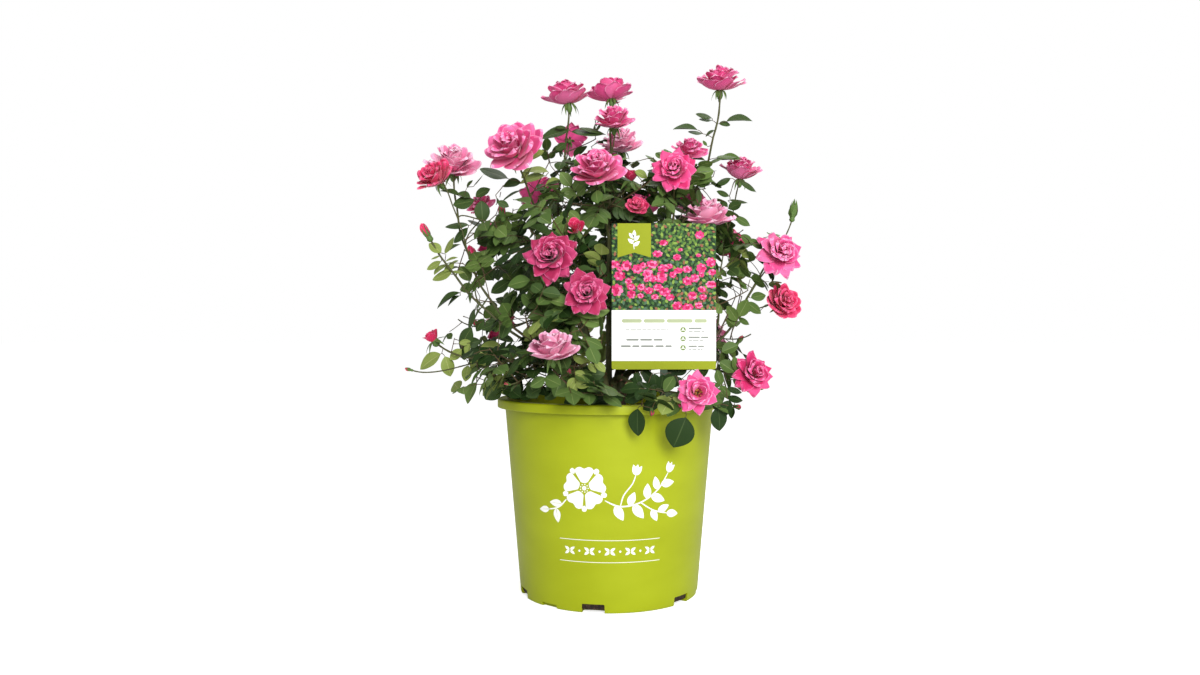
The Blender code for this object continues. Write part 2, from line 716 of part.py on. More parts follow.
def lay_out_shoots(obstacles):
    """The shapes of every shoot, none touching another shoot or an obstacle: first stems, then twigs, then leaves."""
    starts = {}
    for cane in CANES:
        starts.update(shoot_starts(cane))
    rng = random.Random(GROWTH_SEED)
    shapes = {shoot.name: [] for shoot in SHOOTS}
    flowers = {shoot.name: [flower_shape(flower) for flower in shoot.roses] for shoot in SHOOTS}
    stems = {}
    wanted = []

    def others(name):
        return obstacles + [s for key in shapes if key != name for s in shapes[key] + flowers[key]]

    for shoot in SHOOTS:
        start, heading = starts[shoot.name]
        stems[shoot.name] = flower_lines(shoot, start, heading)
        for number, line in enumerate(stems[shoot.name]):
            taper = SIDE_STEM if number else MAIN_STEM
            if clashes(stem_shape(line[1:], taper, KEEP_CLEAR), others(shoot.name)):
                print(f"{shoot.name}: stem {number + 1} meets another solid")
            shapes[shoot.name].append(stem_shape(line, taper, heading=None if number else heading))
    for shoot in SHOOTS:
        twigs = []
        for number in range(shoot.twigs):
            for _ in range(TRIES):
                line = twig_line(stems[shoot.name], number, shoot.twigs, rng)
                grown = stem_shape(line, TWIG, KEEP_CLEAR)
                beyond = stem_shape([line[0].lerp(line[1], 0.2)] + line[1:], TWIG, KEEP_CLEAR)
                if out_of_bounds(grown, shoot.lowest) or clashes(grown, others(shoot.name) + flowers[shoot.name]):
                    continue
                if clashes(beyond, shapes[shoot.name]):
                    continue
                shapes[shoot.name].append(stem_shape(line, TWIG))
                twigs.append(line)
                break
        lines = [(line, 0.2) for line in twigs] + [(line, 0.15) for line in stems[shoot.name]]
        for line, bare_share in lines:
            wanted += [(shoot, root) for root in leaf_roots(line, bare_share, rng.uniform(0, 360))]
    rng.shuffle(wanted)
    leaves = {shoot.name: 0 for shoot in SHOOTS}
    for shoot, root in wanted:
        for _ in range(TRIES):
            if leaves[shoot.name] == shoot.leaves:
                break
            spot = leaf_spot(*root, rng)
            foot, along, facing, length = spot
            grown = leaf_shape(*spot, grow=KEEP_CLEAR)
            if out_of_bounds(grown, shoot.lowest) or clashes(grown, others(shoot.name) + flowers[shoot.name]):
                continue
            blade = leaf_shape(foot + along * LEAF_STALK, along, facing, length - LEAF_STALK, grow=KEEP_CLEAR)
            if clashes(blade, shapes[shoot.name]):
                continue
            shapes[shoot.name].append(leaf_shape(*spot))
            leaves[shoot.name] += 1
            break
    print(f"{sum(leaves.values())} leaves at {len(wanted)} places:", *leaves.values())
    return {name: shapes[name] + flowers[name] for name in shapes}


def mesh_object(name, shape, collection):
    mesh = bpy.data.meshes.new(name)
    mesh.from_pydata(shape.points, [], shape.faces)
    return place(name, mesh, collection)


def keep_outer_body(mesh):
    """Drops scraps and sealed hollows that fusing left, so that one closed body remains, and merges flat faces."""
    shape = bmesh.new()
    shape.from_mesh(mesh)
    unseen = set(shape.faces)
    bodies = []
    while unseen:
        reached = [unseen.pop()]
        body = []
        while reached:
            face = reached.pop()
            body.append(face)
            for edge in face.edges:
                for neighbour in edge.link_faces:
                    if neighbour in unseen:
                        unseen.remove(neighbour)
                        reached.append(neighbour)
        bodies.append(body)
    bodies.sort(key=len, reverse=True)
    scraps = [face for body in bodies[1:] for face in body]
    bmesh.ops.delete(shape, geom=scraps, context="FACES")
    bmesh.ops.dissolve_limit(shape, angle_limit=FLAT_ENOUGH, verts=shape.verts, edges=shape.edges)
    bmesh.ops.triangulate(shape, faces=shape.faces)
    shape.to_mesh(mesh)
    shape.free()
    return len(bodies) - 1


def fuse_shoot(name, shapes, parts, material):
    """One Boolean union of a shoot's stem with everything that grows on it, applied."""
    collection = new_collection("growing " + name)
    stem = mesh_object(name + "_stem", shapes[0], parts)
    for number, shape in enumerate(shapes[1:]):
        mesh_object(f"{name}_{number}", shape, collection)
    join = stem.modifiers.new("fuse", "BOOLEAN")
    join.operation = "UNION"
    join.operand_type = "COLLECTION"
    join.collection = collection
    join.solver = "MANIFOLD"
    graph = bpy.context.evaluated_depsgraph_get()
    mesh = bpy.data.meshes.new_from_object(stem.evaluated_get(graph))
    for grown in list(collection.objects) + [stem]:
        bpy.data.objects.remove(grown, do_unlink=True)
    bpy.data.collections.remove(collection)
    dropped = keep_outer_body(mesh)
    mesh.name = name
    mesh.materials.clear()
    print(f"{name}: {len(mesh.polygons)} triangles, {dropped} scraps dropped")
    return place(name, mesh, parts, material)


def main():
    clear_scene()
    parts = new_collection("potted rose bush")
    green_plastic = finish("green plastic", (0.46, 0.56, 0.03), 0.4)
    bark_mix = finish("potting mix", (0.05, 0.035, 0.025), 0.95)
    wood = finish("cane bark", (0.12, 0.13, 0.05), 0.7)
    foliage = finish("foliage and flowers", (0.05, 0.14, 0.04), 0.5)
    card_print = finish("label print", (0.85, 0.86, 0.8), 0.45)
    stake_plastic = finish("stake plastic", (0.03, 0.06, 0.03), 0.5)
    solids = [
        make_pot(parts, green_plastic),
        make_potting_mix(parts, bark_mix),
        make_stump(parts, wood),
        make_label_card(parts, card_print),
        make_label_stake(parts, stake_plastic),
    ]
    solids += [make_cane(cane, parts, wood) for cane in CANES]
    bpy.context.view_layer.update()
    obstacles = [world_shape(made) for made in solids]
    for name, shapes in lay_out_shoots(obstacles).items():
        fuse_shoot(name, shapes, parts, foliage)


main()
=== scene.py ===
# %% [markdown]
# # A potted double shrub rose
# Many thin canes on a short stump, leaves of five leaflets, and double pink flowers at every height, in a
# lime-green nursery pot with a picture label on a stake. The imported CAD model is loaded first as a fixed
# frame that says where everything is. This script gives each solid its surface, finer growth and colours.

# %% Load the frame and note its size
import json
import math
import random
from collections import namedtuple

import bmesh
import bpy
import numpy as np
from mathutils import Matrix, Vector, noise
from mathutils.bvhtree import BVHTree

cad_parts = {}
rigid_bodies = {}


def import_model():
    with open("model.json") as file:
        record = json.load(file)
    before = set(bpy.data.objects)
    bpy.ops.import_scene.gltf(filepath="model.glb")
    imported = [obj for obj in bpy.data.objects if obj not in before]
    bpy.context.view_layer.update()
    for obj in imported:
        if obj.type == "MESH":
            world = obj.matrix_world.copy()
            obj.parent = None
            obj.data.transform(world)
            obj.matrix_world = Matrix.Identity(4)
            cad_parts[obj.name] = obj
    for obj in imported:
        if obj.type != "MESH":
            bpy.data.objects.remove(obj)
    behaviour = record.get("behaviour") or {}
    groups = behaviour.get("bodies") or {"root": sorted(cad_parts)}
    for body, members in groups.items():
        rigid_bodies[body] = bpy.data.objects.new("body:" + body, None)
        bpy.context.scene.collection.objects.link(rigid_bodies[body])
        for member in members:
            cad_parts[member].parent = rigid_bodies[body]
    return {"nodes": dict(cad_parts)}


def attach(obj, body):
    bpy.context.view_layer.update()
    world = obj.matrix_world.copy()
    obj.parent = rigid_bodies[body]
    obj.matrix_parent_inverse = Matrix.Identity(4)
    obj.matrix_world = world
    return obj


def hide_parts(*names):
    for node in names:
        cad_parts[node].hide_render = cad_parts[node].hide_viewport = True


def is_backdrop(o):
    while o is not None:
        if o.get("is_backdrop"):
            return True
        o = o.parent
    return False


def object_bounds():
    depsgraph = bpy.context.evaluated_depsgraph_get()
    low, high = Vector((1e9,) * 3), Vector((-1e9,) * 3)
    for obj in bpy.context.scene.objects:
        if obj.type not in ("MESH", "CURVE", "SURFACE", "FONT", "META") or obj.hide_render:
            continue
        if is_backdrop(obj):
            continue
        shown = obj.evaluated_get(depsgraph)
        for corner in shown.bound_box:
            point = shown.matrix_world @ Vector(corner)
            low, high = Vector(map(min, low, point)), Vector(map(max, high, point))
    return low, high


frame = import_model()
cad_low, cad_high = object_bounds()
MM = 0.001
UP = Vector((0, 0, 1))
print("CAD box in mm:", [round(side / MM, 1) for side in cad_high - cad_low])

# %% [markdown]
# ## Helpers for meshes and nodes
# Every finished piece is a plain mesh whose object stays at the origin. A geometry tree is built once, with
# named inputs. `grow_from` hangs it on a helper mesh, sets its inputs by their identifiers, turns the
# result into a plain mesh and throws the helper away.

# %% Mesh helpers


def link_object(name, data):
    """Puts an object with this data into the scene."""
    made = bpy.data.objects.new(name, data)
    bpy.context.scene.collection.objects.link(made)
    return made


def mesh_from(name, points, faces, edges=()):
    mesh = bpy.data.meshes.new(name)
    mesh.from_pydata([tuple(p) for p in points], edges, faces)
    return mesh


def shape_into(mesh, shape):
    """Writes a bmesh into a mesh and frees it."""
    shape.to_mesh(mesh)
    shape.free()
    return mesh


def add_piece(name, mesh, materials=(), nodes=(), smooth=True):
    """Links a mesh as a piece on the one body and the CAD nodes that it stands for."""
    for material in materials:
        mesh.materials.append(material)
    if smooth:
        mesh.shade_smooth()
    piece = link_object(name, mesh)
    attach(piece, "root")
    if nodes:
        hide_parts(*nodes)
    mesh.calc_loop_triangles()
    print(f"{name}: {len(mesh.loop_triangles)} triangles")


def woven(rows, columns, closed=False):
    """Four-sided faces between rows of points. A closed weave joins the end of each row to its start."""
    faces = []
    for row in range(0, (rows - 1) * columns, columns):
        for column in range(columns if closed else columns - 1):
            a, b = row + column, row + (column + 1) % columns
            faces.append((a, b, b + columns, a + columns))
    return faces


def loft(rings, root=None, tip=None):
    """(points, faces) of a skin over rings. An end closes to a point where one is given, or else flat."""
    sides = len(rings[0])
    points = [p for ring in rings for p in ring]
    faces = woven(len(rings), sides, closed=True)
    count = len(points)
    for rim, peak in (([*range(sides)][::-1], root), ([*range(count - sides, count)], tip)):
        if peak is None:
            faces.append(tuple(rim))
        else:
            points.append(peak)
            faces += [(a, b, len(points) - 1) for a, b in zip(rim, rim[1:] + rim[:1])]
    return points, faces


Heap = namedtuple("Heap", "points faces marks")  # shapes joined into one mesh, with a mark for each face


def pour(heap, points, faces, marks=()):
    """Adds a shape to a heap."""
    first = len(heap.points)
    heap.faces.extend(tuple(first + k for k in face) for face in faces)
    heap.points.extend(points)
    heap.marks.extend(marks)


def turned(across, up, angle):
    """A direction in the plane of two square ones."""
    return across * math.cos(angle) + up * math.sin(angle)


def ring_at(middle, across, up, radius, sides):
    return [middle + turned(across, up, 2 * math.pi * side / sides) * radius for side in range(sides)]


def square_to(direction, hint):
    """The part of hint that is square to direction, one unit long."""
    return (hint - direction * hint.dot(direction)).normalized()


print("mesh helpers are ready")

# %% Node helpers


def new_tree(name, **inputs):
    """An empty geometry tree with named inputs, and their sockets."""
    tree = bpy.data.node_groups.new(name, "GeometryNodeTree")
    for label, kind in (("Geometry", "Geometry"), *inputs.items()):
        tree.interface.new_socket(label, in_out="INPUT", socket_type="NodeSocket" + kind)
    tree.interface.new_socket("Geometry", in_out="OUTPUT", socket_type="NodeSocketGeometry")
    return tree, tree.nodes.new("NodeGroupInput").outputs


def add_node(tree, kind, **links):
    """Adds a node. Names in small letters are its settings, and the others are its input sockets. A socket
    takes a value, another socket, or a node, which stands for its first output."""
    node = tree.nodes.new(kind)
    for label, value in links.items():
        if label.islower():
            setattr(node, label, value)
            continue
        socket = next(s for s in node.inputs if s.enabled and s.name == label.replace("_", " "))
        if isinstance(value, bpy.types.Node):
            value = next(s for s in value.outputs if s.enabled)
        if isinstance(value, bpy.types.NodeSocket):
            tree.links.new(value, socket)
        else:
            socket.default_value = value
    return node


def close_tree(tree, geometry, *paints):
    """Makes the instances real, paints them with (material, chosen faces) pairs and ends the tree."""
    last = add_node(tree, "GeometryNodeRealizeInstances", Geometry=geometry)
    for material, chosen in paints:
        last = add_node(tree, "GeometryNodeSetMaterial", Geometry=last, Material=material, Selection=chosen)
    end = tree.nodes.new("NodeGroupOutput")
    tree.links.new(last.outputs["Geometry"], end.inputs["Geometry"])
    return tree


def plain_mesh(piece):
    """The mesh of an object with its modifiers applied. The object is removed."""
    graph = bpy.context.evaluated_depsgraph_get()
    made = bpy.data.meshes.new_from_object(
        piece.evaluated_get(graph), preserve_all_data_layers=True, depsgraph=graph)
    bpy.data.objects.remove(piece, do_unlink=True)
    if made.materials and made.materials[0] is None:
        made.materials.pop(index=0)
    return made


def grow_from(helper_mesh, tree, **values):
    """The plain mesh that a tree makes from a helper mesh."""
    helper = link_object("helper", helper_mesh)
    modifier = helper.modifiers.new(tree.name, "NODES")
    modifier.node_group = tree
    for item in tree.interface.items_tree:
        if item.in_out == "INPUT" and item.name in values:
            modifier[item.identifier] = values[item.name]
    return plain_mesh(helper)


def hidden_collection(name):
    """A collection that only lends its objects to a tree or a Boolean."""
    made = bpy.data.collections.new(name)
    bpy.context.scene.collection.children.link(made)
    made.hide_render = True
    return made


def empty_collection(collection):
    for lent in list(collection.objects):
        bpy.data.objects.remove(lent, do_unlink=True)
    bpy.data.collections.remove(collection)


print("node helpers are ready")

# %% [markdown]
# ## Finishes
# A real surface is never one even colour. A pattern on Object coordinates stays in place at its true scale.
# It can mix near tones, let the roughness wander and raise small bumps. Leaves and petals are joined by the
# thousand, so they take plain tones, dealt out by spray or by flower, and get only a bump.

# %% Material helpers


def screen(colour):
    """A colour as a screen shows it, 0 to 255, turned into the linear values that shaders use."""
    shares = [value / 255 for value in colour]
    return tuple(s / 12.92 if s <= 0.04045 else ((s + 0.055) / 1.055) ** 2.4 for s in shares)


def finish(name, colour, roughness=0.5, gloss=0.5, **sockets):
    """A Principled material with its values on the shader's own sockets."""
    material = bpy.data.materials.new(name)
    material.use_nodes = True
    sockets |= {"Base_Color": (*screen(colour), 1), "Roughness": roughness, "Specular_IOR_Level": gloss}
    for label, value in sockets.items():
        socket = material.node_tree.nodes["Principled BSDF"].inputs[label.replace("_", " ")]
        socket.default_value = value
    return material


def pattern(material, scale, detail=4.0, stretch=(1, 1, 1), bump=None, colours=None, rough=None, cells=False):
    """Noise, or cells, with scale repeats a metre. It raises bumps by (height in mm, strength), runs the
    colour through (position, colour) stops and the roughness between two values, where these are given."""
    tree = material.node_tree
    shader = tree.nodes["Principled BSDF"]
    place = add_node(tree, "ShaderNodeTexCoord")
    mapped = add_node(tree, "ShaderNodeMapping", Vector=place.outputs["Object"], Scale=stretch)
    kind, settings = ("Voronoi", {}) if cells else ("Noise", {"Detail": detail})
    made = add_node(tree, "ShaderNodeTex" + kind, Vector=mapped, Scale=scale, **settings)
    if colours:
        ramp = add_node(tree, "ShaderNodeValToRGB", Fac=made)
        for _ in colours[2:]:
            ramp.color_ramp.elements.new(0.5)
        for element, (position, colour) in zip(ramp.color_ramp.elements, colours):
            element.position = position
            element.color = (*screen(colour), 1)
        tree.links.new(ramp.outputs["Color"], shader.inputs["Base Color"])
    if rough:
        spread = add_node(tree, "ShaderNodeMapRange", Value=made, To_Min=rough[0], To_Max=rough[1])
        tree.links.new(spread.outputs["Result"], shader.inputs["Roughness"])
    if bump:
        height, strength = bump
        raised = add_node(tree, "ShaderNodeBump", Height=made, Distance=height * MM, Strength=strength)
        for link in shader.inputs["Normal"].links:
            tree.links.new(link.from_socket, raised.inputs["Normal"])
        tree.links.new(raised.outputs["Normal"], shader.inputs["Normal"])
    return material


print("material helpers are ready")

# %% [markdown]
# ## Camera, light and floor
# A catalogue picture of such a plant is taken at the height of the leaves, from a little over a metre away,
# against white. The light is one big soft box in front, a little to the right, a weaker one above and behind
# for the leaf edges, and a pale sky all round. Sky and floor look white to the camera, as paper does, but
# light the plant with less, so that the pot's left side falls off a little.

# %% Set up the studio
CAMERA_PLACE = (-0.0115, -1.21, 0.3265)
CAMERA_LENS = 28.29
CAMERA_SHIFT = -0.0033
LIGHTS_LOOK_AT = Vector((0, 0, 0.35))
SOFT_BOXES = (  # name, place, size in metres and power in watts
    ("key soft box", (0.6, -2.4, 1.2), 1.2, 66),
    ("top soft box", (0.3, 0.9, 2.1), 1.4, 18),
)
SKY_SEEN = 1.0
SKY_LIGHT = 0.4
FLOOR_SEEN = 0.66
FLOOR_REACH = 30


def soft_box(name, place, size, energy):
    """A square area light that looks at the middle of the bush."""
    light = bpy.data.lights.new(name, "AREA")
    light.size = size
    light.energy = energy
    lamp = link_object(name, light)
    lamp.location = place
    lamp.rotation_euler = (LIGHTS_LOOK_AT - Vector(place)).to_track_quat("-Z", "Y").to_euler()


def brighter_when_seen(tree, socket, lights_with, looks):
    """Gives a strength one value for what it lights and another for the camera."""
    path = add_node(tree, "ShaderNodeLightPath")
    strength = add_node(tree, "ShaderNodeMapRange", Value=path, To_Min=lights_with, To_Max=looks)
    tree.links.new(strength.outputs["Result"], socket)


camera = link_object("front camera", bpy.data.cameras.new("front camera"))
camera.data.lens = CAMERA_LENS
camera.data.shift_y = CAMERA_SHIFT
camera.location = CAMERA_PLACE
camera.rotation_euler = (math.radians(90), 0, 0)
bpy.context.scene.camera = camera
bpy.context.scene.view_settings.view_transform = "Standard"

sky = bpy.data.worlds.new("pale studio")
sky.use_nodes = True
sky_light = sky.node_tree.nodes["Background"]
sky_light.inputs["Color"].default_value = (1, 1, 1, 1)
brighter_when_seen(sky.node_tree, sky_light.inputs["Strength"], SKY_LIGHT, SKY_SEEN)
bpy.context.scene.world = sky
for box_values in SOFT_BOXES:
    soft_box(*box_values)

floor_corners = [(x * FLOOR_REACH, y * FLOOR_REACH, 0) for x, y in ((-1, -1), (1, -1), (1, 1), (-1, 1))]
floor = link_object("studio_floor", mesh_from("studio floor", floor_corners, [(0, 1, 2, 3)]))
paper = finish("pale floor", (244, 244, 244), 0.9, Emission_Color=(1, 1, 1, 1))
glow = paper.node_tree.nodes["Principled BSDF"].inputs["Emission Strength"]
brighter_when_seen(paper.node_tree, glow, 0, FLOOR_SEEN)
paper.cycles.emission_sampling = "NONE"
floor.data.materials.append(paper)
floor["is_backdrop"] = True
print("camera,", len(SOFT_BOXES), "soft boxes and the floor are set")

# %% [markdown]
# ## The pot
# A nursery pot is moulded in one piece: a thin tapered wall, a lip turned down round the rim for grip, a
# flat bottom and drain notches in the bottom edge. It is a turned shape, so its outline is drawn once, each
# corner is rounded to its true radius, and the outline is spun round the axis in fine steps.

# %% Turn the pot's outline
POT_HEIGHT = 245 * MM
RIM_RADIUS = 142 * MM
RIM_DEPTH = 11 * MM
LIP_THICKNESS = 2.2 * MM
NECK_RADIUS = 132.5 * MM
BASE_RADIUS = 112.5 * MM
WALL_THICKNESS = 2.2 * MM
FLOOR_THICKNESS = 3 * MM
FOOT_WIDTH = 12 * MM
FOOT_RISE = 0.8 * MM
ARC_STEPS = 5
LONGEST_STEP = 15 * MM
lip_bottom = POT_HEIGHT - RIM_DEPTH
under_lip = POT_HEIGHT - LIP_THICKNESS
inside_top = NECK_RADIUS - WALL_THICKNESS


def wall_radius(height):
    """Outer radius of the tapered wall at a height."""
    return BASE_RADIUS + (NECK_RADIUS - BASE_RADIUS) * height / lip_bottom


def rounded_outline(corners):
    """Each (radius, height, rounding) corner is replaced by an arc of that rounding."""
    places = [Vector(corner[:2]) for corner in corners]
    line = places[:1]
    for before, here, after, (_, _, rounding) in zip(places, places[1:], places[2:], corners[1:]):
        if rounding == 0:
            line.append(here)
            continue
        back, on = (before - here).normalized(), (after - here).normalized()
        half = back.angle(on) / 2
        middle = here + (back + on).normalized() * rounding / math.sin(half)
        reach = rounding / math.tan(half)
        start, end = here + back * reach - middle, here + on * reach - middle
        turn = start.angle_signed(end)
        line += [middle + Matrix.Rotation(-turn * step / ARC_STEPS, 2) @ start
                 for step in range(ARC_STEPS + 1)]
    return line + places[-1:]


def stepped(outline):
    """Divides the long straight stretches of the wall, so that a cut low down spoils no face higher up."""
    line = outline[:1]
    for start, end in zip(outline, outline[1:]):
        on_wall = min(start.x, end.x) > BASE_RADIUS / 2
        parts = max(1, math.ceil((end - start).length / LONGEST_STEP)) if on_wall else 1
        line += [start.lerp(end, (part + 1) / parts) for part in range(parts)]
    return line


def spin(name, outline, steps=144):
    """A closed mesh from an outline that starts and ends on the axis and runs round the solid's section."""
    rings = [ring_at(UP * z, Vector((1, 0, 0)), Vector((0, 1, 0)), x, steps) for x, z in outline]
    return mesh_from(name, *loft(rings[1:-1], rings[0][0], rings[-1][0]))


pot_corners = (  # radius, height and rounding, from the middle of the underside to that of the floor
    (0, FOOT_RISE, 0),
    (BASE_RADIUS - FOOT_WIDTH - 2 * MM, FOOT_RISE, 0),
    (BASE_RADIUS - FOOT_WIDTH, 0, 0.4 * MM),
    (BASE_RADIUS, 0, 2.6 * MM),
    (NECK_RADIUS - 0.4 * MM, lip_bottom - 3 * MM, 2 * MM),
    (NECK_RADIUS, under_lip, 1.2 * MM),
    (RIM_RADIUS - LIP_THICKNESS, under_lip, 1.5 * MM),
    (RIM_RADIUS - LIP_THICKNESS, lip_bottom, 0.5 * MM),
    (RIM_RADIUS, lip_bottom, 0.7 * MM),
    (RIM_RADIUS, POT_HEIGHT, 2.5 * MM),
    (inside_top, POT_HEIGHT, 2.2 * MM),
    (inside_top, lip_bottom, 4 * MM),
    (wall_radius(FLOOR_THICKNESS) - WALL_THICKNESS, FLOOR_THICKNESS, 3 * MM),
    (0, FLOOR_THICKNESS, 0),
)
pot_mesh = spin("pot shell", stepped(rounded_outline(pot_corners)))
print("pot outline turned:", len(pot_mesh.polygons), "faces")

# %% [markdown]
# Water leaves through six notches in the bottom edge, and three lower gaps let the foot breathe. A notch is
# cut straight through the wall, so one Boolean with a collection of slightly rounded boxes cuts them all.

# %% Cut the drain notches
NOTCH_KINDS = (  # count, first angle, width, height, reach inwards
    (6, -100, 27 * MM, 11 * MM, 13 * MM),
    (3, -130, 24 * MM, 5 * MM, 6 * MM),
)
NOTCH_ROUNDING = 1.5 * MM
OVERRUN = 8 * MM

notch_cutters = hidden_collection("notch cutters")
for count, first_deg, width, height, reach in NOTCH_KINDS:
    for number in range(count):
        box = bmesh.new()
        place = Matrix.Translation((BASE_RADIUS + (OVERRUN - reach) / 2, 0, (height - OVERRUN) / 2))
        size = Matrix.Diagonal((reach + OVERRUN, width, height + OVERRUN, 1))
        turn = Matrix.Rotation(math.radians(first_deg + 360 * number / count), 4, "Z")
        bmesh.ops.create_cube(box, size=1, matrix=turn @ place @ size)
        bmesh.ops.bevel(box, geom=box.edges[:], offset=NOTCH_ROUNDING, segments=3, affect="EDGES",
                        profile=0.5)
        cutter = shape_into(bpy.data.meshes.new("notch"), box)
        notch_cutters.objects.link(bpy.data.objects.new("notch", cutter))
pot_blank = link_object("pot blank", pot_mesh)
notching = pot_blank.modifiers.new("drain notches", "BOOLEAN")
notching.operation = "DIFFERENCE"
notching.operand_type = "COLLECTION"
notching.collection = notch_cutters
pot_mesh = plain_mesh(pot_blank)
empty_collection(notch_cutters)
print("pot with notches:", len(pot_mesh.polygons), "faces")

# %% [markdown]
# The plastic is a dyed polypropylene: strong colour, satin, with a faint orange-peel skin from the mould and
# cloudy tone where the melt flowed. A wide soft noise mixes two near greens, and the bump stays under a
# twentieth of a millimetre.

# %% Finish the pot
SHARP_FROM_DEG = 32
pot_plastic = finish("lime green plastic", (160, 170, 16), 0.42, 0.25)
pattern(pot_plastic, 9, 3, (1, 1, 2.2), colours=((0.3, (155, 165, 10)), (0.7, (165, 176, 22))))
pattern(pot_plastic, 420, 2, bump=(0.04, 0.6), rough=(0.38, 0.52))
pattern(pot_plastic, 60, 6, (1, 1, 0.15), bump=(0.03, 0.4))
add_piece("pot_shell", pot_mesh, [pot_plastic], ["pot"])
pot_mesh.set_sharp_from_angle(angle=math.radians(SHARP_FROM_DEG))

# %% [markdown]
# ## The print on the pot
# Such a pot carries a white screen print. Ink is a thin film, here a sixth of a millimetre proud of the wall.
# The design is a plain rose sprig over two fine rules with a row of small leaves between them. Each shape is
# drawn flat, as strips of faces, and then rolled round the wall. A flat point is a complex number, as
# multiplying by one turns and stretches a shape.

# %% Tools to draw with ink
def on_circle(turn_deg, reach=1):
    """A flat point at an angle and a distance from the origin."""
    turn = math.radians(turn_deg)
    return complex(math.cos(turn), math.sin(turn)) * reach


def strip(drawing, lefts, rights, columns=2):
    """Faces between two edges of a flat shape."""
    points = [left + (right - left) * column / columns
              for left, right in zip(lefts, rights) for column in range(columns + 1)]
    pour(drawing, points, woven(len(lefts), columns + 1))


def ribbon(drawing, points, width, steps=8):
    """A line of even width along a smooth curve through (across, up) points, thinner at its ends."""
    points = [complex(*point) for point in points]
    line = []
    for before, start, end, after in zip(points[:1] + points, points, points[1:], points[2:] + points[-1:]):
        for step in range(steps):
            t = step / steps
            bend = (2 * before - 5 * start + 4 * end - after) * t**2
            swing = (3 * start - before - 3 * end + after) * t**3
            line.append((2 * start + (end - before) * t + bend + swing) / 2)
    line.append(points[-1])
    sides = []
    for index, (before, after) in enumerate(zip(line[:1] + line, line[1:] + line[-1:])):
        share = index / (len(line) - 1)
        half = width / 2 * min(1, 0.45 + 4 * min(share, 1 - share))
        sides.append((after - before) / abs(after - before) * 1j * half)
    strip(drawing, [p + s for p, s in zip(line, sides)], [p - s for p, s in zip(line, sides)], 1)


def ink_leaf(drawing, foot, turn_deg, length, width, vein=0.5):
    """A leaf in two halves with a clear midrib between them."""
    along = on_circle(turn_deg)
    steps = [step / 10 for step in range(11)]
    halves = [width / 2 * math.sin(math.pi * t**0.8) ** 0.85 for t in steps]
    for hand in (-1, 1):
        outer = [foot + along * complex(length * t, hand * half) for t, half in zip(steps, halves)]
        inner = [foot + along * complex(length * t, hand * min(vein / 2 * (1 - t), half))
                 for t, half in zip(steps, halves)]
        strip(drawing, *((inner, outer) if hand < 0 else (outer, inner)))


def ink_petal(drawing, middle, turn_deg, near, far, width, notch):
    """A petal of an open flower, from near to far of its middle, with a small notch at its edge."""
    along = on_circle(turn_deg)
    lefts, rights = [], []
    for share in [step / 6 for step in range(-6, 7)]:
        spread = width / 2 * share * (1 - 0.12 * share**2)
        edge = far * (1 - 0.2 * share**4) - notch * math.exp(-18 * share**2)
        lefts.append(middle + along * complex(near + 1.2 * share**2, spread * 0.36))
        rights.append(middle + along * complex(edge, spread))
    strip(drawing, lefts, rights, 4)


def ink_dot(drawing, middle, radius):
    """A round dot of ink."""
    arc = [on_circle(22.5 * step - 90, radius) for step in range(9)]
    strip(drawing, [middle - p.conjugate() for p in arc], [middle + p for p in arc], 1)


def face_outwards(mesh, outwards):
    """Turns over the faces whose front looks against a direction, given for each face's middle."""
    shape = bmesh.new()
    shape.from_mesh(mesh)
    bmesh.ops.remove_doubles(shape, verts=shape.verts, dist=0.01 * MM)
    for face in shape.faces:
        face.normal_update()
        if face.normal.dot(outwards(face.calc_center_median())) < 0:
            face.normal_flip()
    return shape_into(mesh, shape)


print("drawing tools are ready")

# %% Draw the sprig and roll it round the wall
INK_PROUD = 0.16 * MM
BLOOM = -30 + 148j
SPRIG_STALKS = (
    (((-6, 134), (12, 127), (36, 131), (58, 145), (72, 164)), 1.8),
    (((-52, 134), (-62, 124), (-76, 120)), 1.6),
    (((36, 131), (52, 121), (70, 116)), 1.5),
    (((12, 127), (16, 140), (26, 153), (30, 163)), 1.4),
)
SPRIG_LEAVES = (  # foot, turn, length, width
    (6 + 128j, -62, 20, 11), (22 + 128j, 66, 17, 9.5), (27 + 128.6j, -52, 21, 11.5), (44 + 135j, 88, 18, 10),
    (49 + 138.5j, -22, 20, 10.5), (57 + 145j, 100, 16, 9), (62 + 151j, 4, 19, 10), (50 + 122j, -64, 16, 9),
    (58 + 119j, 22, 17, 9), (70 + 116j, -8, 18, 9.5), (-58 + 128j, 178, 17, 9), (-66 + 122j, -80, 17, 9.5),
    (-76 + 120j, 186, 15, 8))
SPRIG_BUDS = ((74 + 169j, 62), (31 + 168j, 78))
RULE_HEIGHTS = (87, 61)
RULE_REACH = 61
RULE_STEPS = 40
MARKS_START = -48 + 74j
MARK_SPACING = 12

